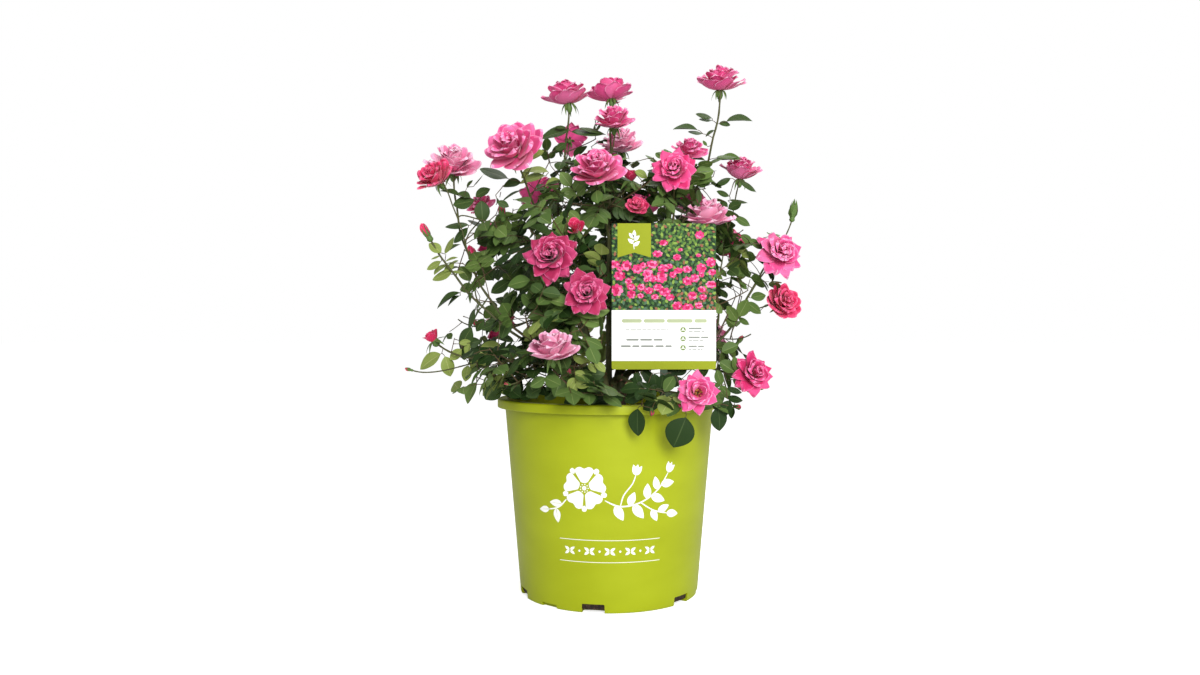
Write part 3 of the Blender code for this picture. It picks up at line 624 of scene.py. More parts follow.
sprig = Heap([], [], [])
for petal in range(5):
    ink_petal(sprig, BLOOM, 90 + 72 * petal, 6.2, 25, 27, 2.2)
    ink_petal(sprig, BLOOM, 126 + 72 * petal, 20.5, 27.5, 8, 0)
ink_dot(sprig, BLOOM, 2.6)
for stamen in range(9):
    ink_dot(sprig, BLOOM + on_circle(40 * stamen, 4.6), 0.75)
for points, width in SPRIG_STALKS:
    ribbon(sprig, points, width)
for leaf in SPRIG_LEAVES:
    ink_leaf(sprig, *leaf)
for middle, turn_deg in SPRIG_BUDS:
    for lean in (-24, 0, 24):
        ink_leaf(sprig, middle - on_circle(turn_deg, 5), turn_deg + lean, 13, 6, 0)
for height in RULE_HEIGHTS:
    rule = [complex(RULE_REACH * (2 * step / RULE_STEPS - 1), height) for step in range(RULE_STEPS + 1)]
    strip(sprig, [p - 0.35j for p in rule], [p + 0.35j for p in rule], 1)
for mark in range(9):
    middle = MARKS_START + MARK_SPACING * mark
    if mark % 2:
        ink_dot(sprig, middle, 1.3)
        continue
    for lean in (35, 145, -35, -145):
        ink_leaf(sprig, middle + on_circle(lean, 0.6), lean, 7, 3.4, 0.3)

rolled = []
for p in sprig.points:
    radius = wall_radius(p.imag * MM) + INK_PROUD
    angle = p.real * MM / radius
    rolled.append((radius * math.sin(angle), -radius * math.cos(angle), p.imag * MM))
print_mesh = mesh_from("sprig print", rolled, sprig.faces)
print_mesh = face_outwards(print_mesh, lambda middle: Vector((*middle.xy, 0)))
ink = pattern(finish("white ink", (246, 247, 240)), 300, 3, bump=(0.02, 0.5), rough=(0.42, 0.6))
add_piece("pot_print", print_mesh, [ink], smooth=False)

# %% [markdown]
# ## The potting mix
# The mix is composted bark with coarse chips and white grains of perlite on top. Its surface is lumpy and
# lies lower round the wall. It is one turned solid whose top is pushed up and down by noise, and Geometry
# Nodes scatter the chips over it.

# %% Fill the pot
SOIL_LEVEL = 222 * MM
SOIL_DIP = 5 * MM
SOIL_FLAT = 60 * MM
SOIL_FOOT = 4 * MM
WALL_GAP = 0.6 * MM
SOIL_RINGS = 44
SOIL_SIDES = 132
SOIL_LUMPS = ((42, 2.2 * MM, 0), (130, 1.3 * MM, 0.3))  # repeats a metre, height, and layer of the noise
soil_edge, soil_foot_edge = [wall_radius(height) - WALL_THICKNESS - WALL_GAP
                             for height in (SOIL_LEVEL, SOIL_FOOT)]


def soil_height(x, y):
    """Level of the mix at a place: flat in the middle, lower at the wall, lumpy all over."""
    out = math.hypot(x, y)
    dip = SOIL_DIP * min(max((out - SOIL_FLAT) / (soil_edge - SOIL_FLAT), 0), 1)
    lumps = [noise.noise(Vector((x, y, layer)) * repeats) * height for repeats, height, layer in SOIL_LUMPS]
    return SOIL_LEVEL - dip + sum(lumps)


soil_outline = [(0, SOIL_FOOT), (soil_foot_edge, SOIL_FOOT)]
soil_outline += [(soil_edge * step / SOIL_RINGS, SOIL_LEVEL) for step in range(SOIL_RINGS, -1, -1)]
soil_mesh = spin("mix", soil_outline, SOIL_SIDES)
for vertex in soil_mesh.vertices:
    if vertex.co.z > SOIL_LEVEL / 2:
        vertex.co.z = soil_height(vertex.co.x, vertex.co.y)
mix = pattern(finish("moist bark mix", (64, 46, 34), 0.95), 260, 6, bump=(1.2, 0.9),
              colours=((0.3, (26, 19, 15)), (0.52, (62, 44, 32)), (0.75, (104, 80, 60))))
add_piece("mix_surface", soil_mesh, [mix], ["potting_mix"])

# %% Tools to scatter shapes
CLOSEST_BITS = 60000  # a square metre, before the spacing thins them out
BIT_TURNS = (0.9, 0.9, 6.28)  # tipped a little, and turned all round


def lend_shapes(name, shapes):
    """A hidden collection of small meshes for a tree to pick from, in the order given."""
    collection = hidden_collection(name)
    for number, (points, faces) in enumerate(shapes):
        lent = mesh_from(name, points, faces)
        collection.objects.link(bpy.data.objects.new(f"{name}_{number:02d}", lent))
    return collection


def set_shapes(tree, points, shapes, **sockets):
    """Sets a collection's objects on points, each point taking one of them."""
    lent = add_node(tree, "GeometryNodeCollectionInfo", Collection=shapes, Separate_Children=True,
                    Reset_Children=True)
    return add_node(tree, "GeometryNodeInstanceOnPoints", Points=points, Instance=lent, Pick_Instance=True,
                    **sockets)


def random_value(tree, seed, data_type="FLOAT", **limits):
    """A random number or vector for each point, between the limits Min and Max."""
    return add_node(tree, "FunctionNodeRandomValue", data_type=data_type, Seed=seed, **limits)


def scatter_tree():
    """Scatters shapes over a surface, turned and sized at random."""
    tree, given = new_tree("scatter", Shapes="Collection", Spacing="Float", Smallest="Float", Largest="Float",
                           Seed="Int", Material="Material")
    seed = given["Seed"]
    spots = add_node(tree, "GeometryNodeDistributePointsOnFaces", distribute_method="POISSON",
                     Mesh=given["Geometry"], Distance_Min=given["Spacing"], Density_Max=CLOSEST_BITS,
                     Seed=seed)
    turn = random_value(tree, seed, "FLOAT_VECTOR", Max=BIT_TURNS)
    size = random_value(tree, seed, Min=given["Smallest"], Max=given["Largest"])
    placed = set_shapes(tree, spots, given["Shapes"], Rotation=turn, Scale=size)
    return close_tree(tree, placed, (given["Material"], True))


scatter = scatter_tree()
print("scatter tree:", len(scatter.nodes), "nodes")

# %% Scatter bark chips and perlite
PATCH_STEPS = range(-128, 129, 4)
PATCH_MARGIN = 3 * MM
CHIP_SIZES = ((6, 13), (3, 6), (1.2, 2.6))  # least and most length, width and thickness, in mm
GRAIN_SIZE = (2.6 * MM, 2.4 * MM, 2.2 * MM)
BROAD_END = 0.55


def chip_shape(rng, length, width, thick):
    """A splinter of bark: a box whose corners are pulled about."""
    rings = [[(x * length / 2 * rng.uniform(0.8, 1.1), y * width / 2 * broad * rng.uniform(0.7, 1.2),
               z * thick / 2 * rng.uniform(0.6, 1.3)) for y, z in ((-1, -1), (1, -1), (1, 1), (-1, 1))]
             for x, broad in ((-1, BROAD_END), (0, 1), (1, BROAD_END))]
    points, faces = loft(rings)
    return points, [face[::-1] for face in faces]


def soil_patch():
    """The top of the mix as its own helper mesh, kept clear of the wall."""
    points = [(x * MM, y * MM, soil_height(x * MM, y * MM)) for x in PATCH_STEPS for y in PATCH_STEPS]
    inside = [math.hypot(x, y) < soil_edge - PATCH_MARGIN for x, y, _ in points]
    faces = [(a, d, c, b) for a, b, c, d in woven(len(PATCH_STEPS), len(PATCH_STEPS))]
    return mesh_from("soil patch", points, [face for face in faces if all(inside[k] for k in face)])


chip_rng = random.Random(4)
chip_kinds = lend_shapes("chip", [
    chip_shape(chip_rng, *[chip_rng.uniform(*size) * MM for size in CHIP_SIZES]) for _ in range(6)])
grain_kinds = lend_shapes("grain", [chip_shape(chip_rng, *GRAIN_SIZE) for _ in range(3)])
for name, kinds, colour, spacing, smallest, largest, seed in (  # the smallest and largest as shares of a kind
    ("bark_chips_dark", chip_kinds, (58, 40, 29), 6.5 * MM, 0.6, 1.35, 3),
    ("bark_chips_brown", chip_kinds, (98, 66, 44), 8.5 * MM, 0.5, 1.2, 8),
    ("bark_chips_pale", chip_kinds, (142, 108, 78), 15 * MM, 0.4, 1.0, 12),
    ("perlite", grain_kinds, (226, 222, 212), 12 * MM, 0.5, 1.3, 17),
):
    rough_bits = pattern(finish(name.replace("_", " "), colour, 0.85), 700, 4, (1, 0.3, 1), bump=(0.3, 0.8))
    bits = grow_from(soil_patch(), scatter, Shapes=kinds, Spacing=spacing, Smallest=smallest, Largest=largest,
                     Seed=seed, Material=rough_bits)
    add_piece(name, bits, smooth=False)
empty_collection(chip_kinds)
empty_collection(grain_kinds)

# %% [markdown]
# ## Stump and canes
# A shrub rose rises from a short knobbly stump as a ring of canes. The bark of the stump is grey-brown and
# fissured; the canes are green-brown and smooth, with a ridge at every old leaf scar. Their lines are the
# CAD's lines: straight up from the stump, then over in one arch. A tube of many sides follows each line,
# and noise stretched along it gives the relief.

# %% Carry over the lines of the canes
CLEARANCE = 0.3 * MM
STUMP_TOP = SOIL_LEVEL + CLEARANCE + 28 * MM
CANE_RING_RADIUS = 18 * MM
CANE_FOOT_RADIUS = 4.2 * MM
CANE_TIP_RADIUS = 2.8 * MM
CANE_UPRIGHT = 6 * MM
CANE_STEPS = 56
CANE_SINK = 4 * MM
FOOT_FLARE = 2.2 * MM
SCAR_EVERY = 30 * MM
SCAR_SWELL = 0.55 * MM
BARK_RIDGE = 0.45 * MM
Cane = namedtuple("Cane", "name ring_deg tip")
CANES = (
    Cane("cane_left", 190, (-98, -30, 316)),
    Cane("cane_left_low", 222, (-76, -70, 288)),
    Cane("cane_front", 255, (-30, -72, 318)),
    Cane("cane_front_right", 288, (30, -84, 266)),
    Cane("cane_right_low", 320, (92, -42, 290)),
    Cane("cane_right", 353, (112, 4, 300)),
    Cane("cane_tall", 26, (72, 25, 425)),
    Cane("cane_back_right", 58, (76, 80, 345)),
    Cane("cane_back", 91, (2, 88, 365)),
    Cane("cane_back_left", 124, (-75, 78, 345)),
    Cane("cane_upper_left", 157, (-62, 15, 415)),
    Cane("cane_centre", None, (0, -5, 435)),
)


def on_curve(controls, t):
    """A point on a cubic curve, t running from 0 to 1."""
    start, leave, arrive, end = controls
    s = 1 - t
    return start * s**3 + leave * 3 * s * s * t + arrive * 3 * s * t * t + end * t**3


def curve_points(controls, count):
    return [on_curve(controls, step / (count - 1)) for step in range(count)]


def cane_line(cane, count=9):
    """Straight up from the stump, then over in one arch to the tip."""
    foot = Vector((0, 0, STUMP_TOP + CLEARANCE))
    if cane.ring_deg is not None:
        foot += turned(Vector((1, 0, 0)), Vector((0, 1, 0)), math.radians(cane.ring_deg)) * CANE_RING_RADIUS
    tip = Vector(cane.tip) * MM
    knee = foot + UP * CANE_UPRIGHT
    span = (tip - knee).length
    lean = (tip - knee).normalized()
    return [foot] + curve_points((knee, knee + UP * span * 0.4, tip - lean * span * 0.3, tip), count)


def frames(line, heading=None):
    """(point, along, across, up) at each point of a line, each frame turned as little as may be."""
    across = square_to(line[1] - line[0], Vector((0.31, 0.22, 0.93)))
    for before, here, after in zip(line[:1] + line, line, line[1:] + line[-1:]):
        along = heading if heading and here is line[0] else (after - before).normalized()
        across = square_to(along, across)
        yield here, along, across, along.cross(across)


def length_of(points):
    return sum((b - a).length for a, b in zip(points, points[1:]))


def cane_shape(line, seed, phase, sides=14):
    """A tube that tapers to its tip, flares at its foot and swells at each old leaf scar."""
    gap = SCAR_EVERY / length_of(line)
    rings = []
    for index, (here, along, across, up) in enumerate(frames(line)):
        share = index / (len(line) - 1)
        scar = math.exp(-((((share / gap + phase) % 1) - 0.5) / 0.07) ** 2) * SCAR_SWELL
        radius = CANE_FOOT_RADIUS + (CANE_TIP_RADIUS - CANE_FOOT_RADIUS) * share
        radius += FOOT_FLARE * math.exp(-share * 26) + scar
        rings.append([])
        for out in ring_at(Vector(), across, up, 1, sides):
            ridge = noise.noise(Vector((out.x * 2.2, out.y * 2.2, here.z * 28 + seed))) * BARK_RIDGE
            rings[-1].append(here + out * (radius + ridge))
    return loft(rings, line[0], line[-1] + (line[-1] - line[-2]).normalized() * 0.2 * MM)


print(len(CANES), "canes to shape")

# %% Shape the canes
canes = Heap([], [], [])
for number, cane in enumerate(CANES):
    line = cane_line(cane, CANE_STEPS)
    line[0] = line[0] - UP * CANE_SINK
    pour(canes, *cane_shape(line, number * 3.1, number * 0.37))
print(len(CANES), "canes,", len(canes.faces), "faces")

# %% Shape the stump with a flared, lumpy foot and a knuckle under each cane
STUMP_OUTLINE = (  # radius and height over the mix
    (0, -8), (33, -8), (32, 0), (29, 3), (25, 7), (22, 11), (21, 15), (21.5, 19), (23, 23), (24, 26.3),
    (22.5, 28.3), (18, 29.1), (12, 28.7), (6, 28.6), (0, 28.3))
STUMP_LUMP = 3.2 * MM
STUMP_FISSURE = 2.4 * MM
KNUCKLE_HEIGHT = 2.6 * MM
KNUCKLE_REACH = 7 * MM
cane_feet = [cane_line(cane)[0].xy for cane in CANES]

stump = spin("stump", [(radius * MM, SOIL_LEVEL + up * MM) for radius, up in STUMP_OUTLINE], 96)
for vertex in stump.vertices:
    x, y, z = vertex.co
    if vertex.co.xy.length > 1 * MM:
        turn = Vector((x, y, 0)).normalized()
        lump = noise.noise(Vector((turn.x * 2.4, turn.y * 2.4, z * 30))) * STUMP_LUMP
        fissure = abs(noise.noise(Vector((turn.x * 9, turn.y * 9, z * 22)))) * STUMP_FISSURE
        vertex.co += turn * (lump - fissure)
    if z > STUMP_TOP - 3 * MM:
        for foot in cane_feet:
            near = (Vector((x, y)) - foot).length
            vertex.co.z += KNUCKLE_HEIGHT * math.exp(-((near / KNUCKLE_REACH) ** 2))
stump_bark = pattern(finish("stump bark", (92, 74, 56), 0.9), 160, 8, (1, 1, 0.3), bump=(1.0, 0.9),
                     colours=((0.3, (48, 37, 28)), (0.5, (96, 77, 58)), (0.72, (138, 118, 92))))
add_piece("stump_bark", stump, [stump_bark], ["stump"])

# %% Finish the canes with bark and prickles
PRICKLES_PER_AREA = 5200.0  # on a square metre of bark
SMALLEST_PRICKLE = 0.5
LARGEST_PRICKLE = 1.15
cane_bark = finish("cane bark", (84, 88, 50), 0.62, 0.35)
pattern(cane_bark, 90, 6, (1, 1, 0.18), bump=(0.35, 0.8),
        colours=((0.28, (52, 44, 32)), (0.5, (78, 84, 46)), (0.74, (112, 106, 70))))
pattern(cane_bark, 520, cells=True, bump=(0.15, 0.5))


def prickle_shape():
    """A small hooked thorn, four-sided, on a broad foot."""
    rings = [[(x * reach * MM, (y * reach - lean) * MM, height * MM)
              for x, y in ((-0.55, -1.2), (0.55, -1.2), (0.55, 1.2), (-0.55, 1.2))]
             for height, reach, lean in ((-0.4, 1.0, 0.0), (0.8, 0.62, 0.15), (2.2, 0.3, 0.75))]
    return loft(rings, tip=(0, -1.9 * MM, 3.1 * MM))


def prickle_tree():
    """Sets prickles over a bark surface, each standing square to it."""
    tree, given = new_tree("prickles", Shapes="Collection", Density="Float", Seed="Int", Material="Material")
    seed = given["Seed"]
    spots = add_node(tree, "GeometryNodeDistributePointsOnFaces", Mesh=given["Geometry"],
                     Density=given["Density"], Seed=seed)
    size = random_value(tree, seed, Min=SMALLEST_PRICKLE, Max=LARGEST_PRICKLE)
    placed = set_shapes(tree, spots, given["Shapes"], Rotation=spots.outputs["Rotation"], Scale=size)
    return close_tree(tree, placed, (given["Material"], True))


prickle_kinds = lend_shapes("prickle", [prickle_shape()])
prickle_skin = pattern(finish("prickle", (128, 72, 52)), 900, bump=(0.05, 0.5))
cane_mesh = mesh_from("canes", canes.points, canes.faces)
prickles = grow_from(cane_mesh.copy(), prickle_tree(), Shapes=prickle_kinds, Density=PRICKLES_PER_AREA,
                     Seed=5, Material=prickle_skin)
empty_collection(prickle_kinds)
add_piece("canes", cane_mesh, [cane_bark], [cane.name for cane in CANES])
add_piece("prickles", prickles, smooth=False)

# %% [markdown]
# ## How the bush grows
# From the tip of each cane one or two leafy shoots carry on. A shoot has a main stem to its first flower and
# a side stem to each of the others, then side twigs that turn by the leaf angle from one to the next, then
# leaves in a spiral. The rule below is the one that made the CAD's shoots, with the same tables, seed and
# tests, so what grows here stands where the solids are. It is carried on to finer twigs afterwards.

# %% The roses and the shoots that carry them
Rose = namedtuple("Rose", "place across tilt_deg facing_deg bud tone")
Shoot = namedtuple("Shoot", "name cane twigs leaves roses lowest", defaults=(250 * MM,))


def rose(x, y, z, across, tilt_deg, facing_deg, tone):
    """An open rose: its middle and width in mm, its lean from upright, the way it faces and its tone."""
    return Rose(Vector((x, y, z)) * MM, across * MM, tilt_deg, facing_deg, False, tone)


def bud(*values):
    """A closed bud, stated as a rose is."""
    return rose(*values, "red")._replace(bud=True)


SHOOTS = (
    Shoot("left_high", "left", 4, 18, (
        rose(-195, 2, 540, 50, 25, 10, "pale"), rose(-217, -50, 524, 46, 62, 195, "red"),
        rose(-166, 32, 494, 44, 55, 120, "mid"), bud(-133, -36, 475, 13, 20, 250))),
    Shoot("left_mid", "left", 6, 19, (bud(-229, -24, 452, 15, 30, 180), bud(-172, -8, 424, 16, 25, 200))),
    Shoot("left_low", "left_low", 6, 19, (bud(-218, -40, 320, 14, 35, 185), bud(-246, -48, 282, 6, 75, 180))),
    Shoot("front_left", "left_low", 6, 26, (
        rose(-61, -165, 318, 56, 14, 270, "pale"), bud(-118, -120, 268, 6, 80, 235))),
    Shoot("skirt_front", "front", 5, 26, (bud(-46, -128, 282, 7, 60, 260), bud(-92, -96, 262, 6, 80, 225))),
    Shoot("front_mid", "front", 6, 24, (
        rose(-64, -140, 416, 56, 74, 262, "deep"), rose(-27, -160, 373, 50, 78, 278, "deep"),
        bud(-40, -92, 451, 19, 55, 265))),
    Shoot("front_right", "front_right", 4, 11, (
        rose(97, -168, 262, 50, 84, 272, "mid"), bud(46, -160, 240, 7, 125, 270),
        bud(78, -150, 248, 7, 120, 275)), 196 * MM),
    Shoot("right_low", "right_low", 5, 18, (
        rose(178, -62, 279, 52, 72, 296, "hot"), bud(150, -95, 240, 8, 90, 300)), 224 * MM),
    Shoot("behind_label", "right_low", 6, 20, (bud(62, -40, 440, 12, 10, 270),)),
    Shoot("right_mid", "right", 6, 20, (
        rose(213, -22, 428, 57, 62, 322, "mid"), rose(223, 8, 369, 44, 78, 345, "red"),
        bud(237, 6, 480, 13, 8, 0))),
    Shoot("right_shoulder", "right", 6, 21, (
        rose(121, -58, 478, 60, 12, 268, "pale"), rose(174, 22, 543, 50, 14, 10, "red"))),
    Shoot("tall", "tall", 4, 12, (rose(145, 0, 651, 56, 8, 10, "hot"),)),
    Shoot("upper_right", "tall", 6, 22, (
        rose(77, -88, 524, 52, 74, 264, "hot"), rose(104, 0, 565, 44, 32, 45, "mid"))),
    Shoot("back_right_high", "back_right", 6, 22, (
        rose(118, 112, 512, 54, 35, 50, "mid"), rose(172, 84, 452, 50, 62, 30, "hot"))),
    Shoot("back_right_low", "back_right", 6, 24, (
        rose(150, 150, 328, 52, 70, 48, "pale"), bud(196, 66, 330, 12, 40, 20))),
    Shoot("back_high", "back", 6, 22, (
        rose(-12, 118, 570, 54, 30, 95, "hot"), rose(46, 150, 512, 50, 52, 78, "mid"))),
    Shoot("back_mid", "back", 6, 24, (
        rose(-14, 196, 418, 54, 74, 95, "hot"), rose(28, 186, 304, 48, 80, 84, "pale"))),
    Shoot("back_left_high", "back_left", 6, 22, (
        rose(-98, 122, 528, 56, 36, 125, "mid"), rose(-165, 110, 462, 48, 60, 145, "hot"))),
    Shoot("back_left_low", "back_left", 6, 24, (
        rose(-158, 142, 340, 50, 70, 140, "hot"), bud(-206, 60, 350, 12, 40, 160))),
    Shoot("upper_left", "upper_left", 6, 20, (rose(-115, -78, 551, 66, 48, 258, "mid"),)),
    Shoot("top_left", "upper_left", 5, 17, (
        rose(-53, -18, 630, 56, 10, 200, "hot"), rose(-52, 54, 588, 42, 62, 90, "mid"))),
    Shoot("top_centre", "centre", 6, 19, (
        rose(6, 32, 646, 53, 16, 60, "hot"), rose(8, -22, 600, 50, 22, 268, "hot"),
        rose(24, 64, 582, 50, 34, 60, "mid"))),
    Shoot("centre_high", "centre", 6, 22, (
        rose(-16, -98, 526, 60, 46, 264, "mid"), bud(28, 0, 528, 20, 20, 300),
        rose(34, -50, 484, 30, 60, 280, "red"))),
)
ALL_ROSES = [flower for shoot in SHOOTS for flower in shoot.roses]
print(len(SHOOTS), "shoots,", len(ALL_ROSES), "roses and buds")

# %% Lines that stems and twigs follow
Taper = namedtuple("Taper", "foot tip points")
MAIN_STEM = Taper(2.2 * MM, 1.5 * MM, 6)
SIDE_STEM = Taper(1.15 * MM, 1.1 * MM, 4)
TWIG = Taper(1.0 * MM, 0.8 * MM, 2)
TWIG_LENGTH = (45 * MM, 75 * MM)
SIDE_FORKS = (0.42, 0.58, 0.74)
LEAF_TURN_DEG = 144  # a rose sets five leaves in two turns
Line = namedtuple("Line", "controls points")  # the curve's own four points, and its coarse steps


def aim(flower):
    """The direction that a flower faces."""
    tilt, facing = math.radians(flower.tilt_deg), math.radians(flower.facing_deg)
    return Vector((math.sin(tilt) * math.cos(facing), math.sin(tilt) * math.sin(facing), math.cos(tilt)))


def stem_line(start, heading, flower, count):
    """A stem that leaves along heading and comes up behind the flower, to just inside its back."""
    back = aim(flower)
    end = flower.place - back * flower.across * (0.45 if flower.bud else 0.2)
    span = (end - start).length
    rise = (end - start).normalized() * 0.5 + back * 0.5 + UP * 0.25
    controls = (start, start + heading * span * 0.33, end - rise.normalized() * span * 0.3, end)
    return Line(controls, curve_points(controls, count))


def twig_from(fork, heading, length, sag, taper):
    """A twig that rises a little and levels off."""
    end = fork + heading * length + UP * length * sag
    controls = (fork, fork + heading * length * 0.4, end - UP * length * 0.1, end)
    return Line(controls, curve_points(controls, taper.points))


def point_on(points, share):
    """(point, direction) at a share of the steps of a line."""
    place_on = share * (len(points) - 1)
    index = min(int(place_on), len(points) - 2)
    here = points[index].lerp(points[index + 1], place_on - index)
    return here, (points[index + 1] - points[index]).normalized()


def flower_lines(shoot, start, heading):
    """The main stem to the first flower, then one side stem to each of the others."""
    main = stem_line(start, heading, shoot.roses[0], MAIN_STEM.points)
    return [main] + [stem_line(*point_on(main.points, share), flower, SIDE_STEM.points)
                     for share, flower in zip(SIDE_FORKS, shoot.roses[1:])]


def twig_line(lines, number, count, rng):
    """A leafy side twig, dealt out along the flower stems and turned by the leaf angle from the last."""
    parent = lines[number % len(lines)].points
    fork, along = point_on(parent, 0.1 + 0.7 * (number + rng.random()) / count)
    side = Matrix.Rotation(math.radians(LEAF_TURN_DEG * number + rng.uniform(-70, 70)), 3, along)
    outward = side @ square_to(along, Vector((fork.x, fork.y, 0.3 * fork.z)) + Vector((0, 0, MM)))
    heading = (along * 0.45 + outward + UP * rng.uniform(-0.15, 0.2)).normalized()
    return twig_from(fork, heading, rng.uniform(*TWIG_LENGTH), 0.12, TWIG)


print("lines are ready")

# %% Simple shapes of stems and leaves, to test for room
Shape = namedtuple("Shape", "points tree low high")
STEM_SIDES = 3
ROOT_SHARE = 1.3
LEAF_WIDTH_SHARE = 0.64
LEAF_FOLD_SHARE = 0.03
LEAF_WIDEST = 0.42
LEAF_SINK = 0.25 * MM


def shape_of(points, faces):
    """A shape ready for tests: its faces as triangles in a search tree, and its box."""
    triangles = [(face[0], a, b) for face in faces for a, b in zip(face[1:], face[2:])]
    low, high = [Vector(end(p[k] for p in points) for k in range(3)) for end in (min, max)]
    return Shape(points, BVHTree.FromPolygons(points, triangles), low, high)


def clashes(candidate, taken):
    return any(all(candidate.low[k] <= other.high[k] and other.low[k] <= candidate.high[k] for k in range(3))
               and candidate.tree.overlap(other.tree) for other in taken)


def stem_shape(line, taper, grow=0.0, heading=None):
    """A three-sided tube that tapers along a line, as the CAD has it."""
    rings = []
    last = len(line) - 1
    for index, (here, along, across, up) in enumerate(frames(line, heading)):
        if index == 0 and not heading:
            here = here + along * taper.foot * ROOT_SHARE
        if index == last:
            here = here + along * grow
        radius = taper.foot + (taper.tip - taper.foot) * index / last + 2 * grow
        rings.append(ring_at(here, across, up, radius, STEM_SIDES))
    root = None if heading else line[0] + (line[0] - line[1]).normalized() * (LEAF_SINK + grow)
    return shape_of(*loft(rings, root))


def leaf_shape(root, along, facing, length, grow=0.0):
    """A kite-shaped blade folded up from its midrib, which runs from the root to the tip."""
    facing = square_to(along, facing)
    across = facing.cross(along) * (length * LEAF_WIDTH_SHARE / 2 + grow)
    foot = root - along * (LEAF_SINK + grow) - facing * grow
    tip = root + along * (length + grow) - facing * grow
    widest = root + along * length * LEAF_WIDEST + facing * (length * LEAF_FOLD_SHARE + grow)
    faces = [(0, 3, 2), (1, 2, 3), (0, 2, 1), (0, 1, 3)]
    return shape_of([foot, tip, widest + across, widest - across], faces)


print("stems and leaves have simple shapes")


# %% Simple shapes of flowers and solids
def flower_frame(flower):
    """Axis and two square directions of a flower."""
    axis = aim(flower)
    across = square_to(axis, Vector((0.9, 0.3, 0.2)))
    return axis, across, axis.cross(across)


def rose_shape(flower, petals=5):
    """A double rose: a star of outer petal tips, a smaller star above it and a dip in the middle."""
    axis, across, up = flower_frame(flower)
    size = flower.across
    base = flower.place - axis * size * 0.28
    rings = [[base + axis * height * size
              + turned(across, up, math.pi * (2 * petal + half) / petals) * reach * size
              for petal in range(petals) for half, (reach, height) in enumerate(star)]
             for star in (((0.53, 0.28), (0.43, 0.2)), ((0.35, 0.56), (0.28, 0.5)))]
    points, faces = loft(rings, tip=base + axis * size * 0.42)
    faces.remove(tuple(reversed(range(2 * petals))))
    points.append(base)
    for petal in range(petals):
        before, tip, after = (2 * petal - 1) % (2 * petals), 2 * petal, 2 * petal + 1
        faces += [(len(points) - 1, after, before), (before, after, tip)]
    return shape_of(points, faces)


def bud_shape(flower):
    """A pointed bud on its hip: five-sided, widest below its middle."""
    axis, across, up = flower_frame(flower)
    size = flower.across
    rings = [ring_at(flower.place + axis * height * size, across, up, reach * size, 5)
             for height, reach in ((-0.3, 0.42), (0.15, 0.5), (0.6, 0.3))]
    return shape_of(*loft(rings, flower.place - axis * 0.75 * size, flower.place + axis * 0.95 * size))


def node_shape(name):
    """A CAD node as a shape to keep clear of."""
    mesh = frame["nodes"][name].data
    return shape_of([v.co.copy() for v in mesh.vertices], [tuple(p.vertices) for p in mesh.polygons])


SOLIDS = [node_shape(name) for name in ("pot", "potting_mix", "stump", "label_card", "label_stake")]
SOLIDS += [node_shape(cane.name) for cane in CANES]
ALL_FLOWERS = [bud_shape(flower) if flower.bud else rose_shape(flower) for flower in ALL_ROSES]
print(len(SOLIDS), "solids and", len(ALL_FLOWERS), "flowers to keep clear of")

# %% Rules for where a leaf may be
KEEP_CLEAR = 0.5 * MM
REACH_ACROSS = 238 * MM
REACH_DEEP = 205 * MM
BACK_FROM = 70 * MM
LABEL_WIDTH = 125 * MM
LABEL_HEIGHT = 175 * MM
LABEL_THICKNESS = 0.8 * MM
LABEL_CENTRE = Vector((65, -80, 371)) * MM
LABEL_MARGIN = 3 * MM
LEAF_LENGTH = (44 * MM, 54 * MM)
LEAF_LENGTH_AT_TOP = 0.68
SMALLER_FROM = 430 * MM
TOP_LEVEL = 620 * MM
LEAF_STALK = 8 * MM
LEAF_SPACING = 11 * MM
LEAF_RISE_DEG = 58
STEM_SPACING = 2.5 * MM


def hides_label(point):
    """Whether something there would hang in front of the label card."""
    away = point - LABEL_CENTRE
    before = abs(away.x) <= LABEL_WIDTH / 2 + LABEL_MARGIN and abs(away.z) <= LABEL_HEIGHT / 2 + LABEL_MARGIN
    return before and away.y < 0


def hides_rose(point, flower):
    """Whether something there would hang before a rose, seen from the rose's own side of the bush."""
    side = -1 if flower.place.y < BACK_FROM else 1
    away = point - flower.place
    return away.y * side > 0 and max(abs(away.x), abs(away.z)) < flower.across / 2


def fits(shape, lowest, taken):
    """Whether a shape keeps the bush's outline, hides neither label nor rose, and touches nothing."""
    for point in shape.points:
        outside = math.hypot(point.x / REACH_ACROSS, point.y / REACH_DEEP) > 1
        if outside or point.z < lowest or hides_label(point):
            return False
        if any(hides_rose(point, flower) for flower in ALL_ROSES):
            return False
    return not clashes(shape, taken)


def leaf_spot(root, along, turn, rng):
    """(root, heading, facing, length) of one leaf: it leaves its twig sideways and faces up and outwards."""
    side = Matrix.Rotation(math.radians(turn + rng.uniform(-40, 40)), 3, along)
    rise = math.radians(LEAF_RISE_DEG + rng.uniform(-14, 14))
    heading = turned(along, side @ square_to(along, Vector((0.2, 0.1, 1))), rise) - UP * 0.12
    facing = UP * 0.75 + Vector((root.x, root.y, 0)).normalized() * 0.6
    facing += Vector([rng.uniform(-0.35, 0.35) for _ in range(3)])
    height = min(max((root.z - SMALLER_FROM) / (TOP_LEVEL - SMALLER_FROM), 0), 1)
    length = rng.uniform(*LEAF_LENGTH) * (1 + (LEAF_LENGTH_AT_TOP - 1) * height)
    return root, heading.normalized(), facing, length


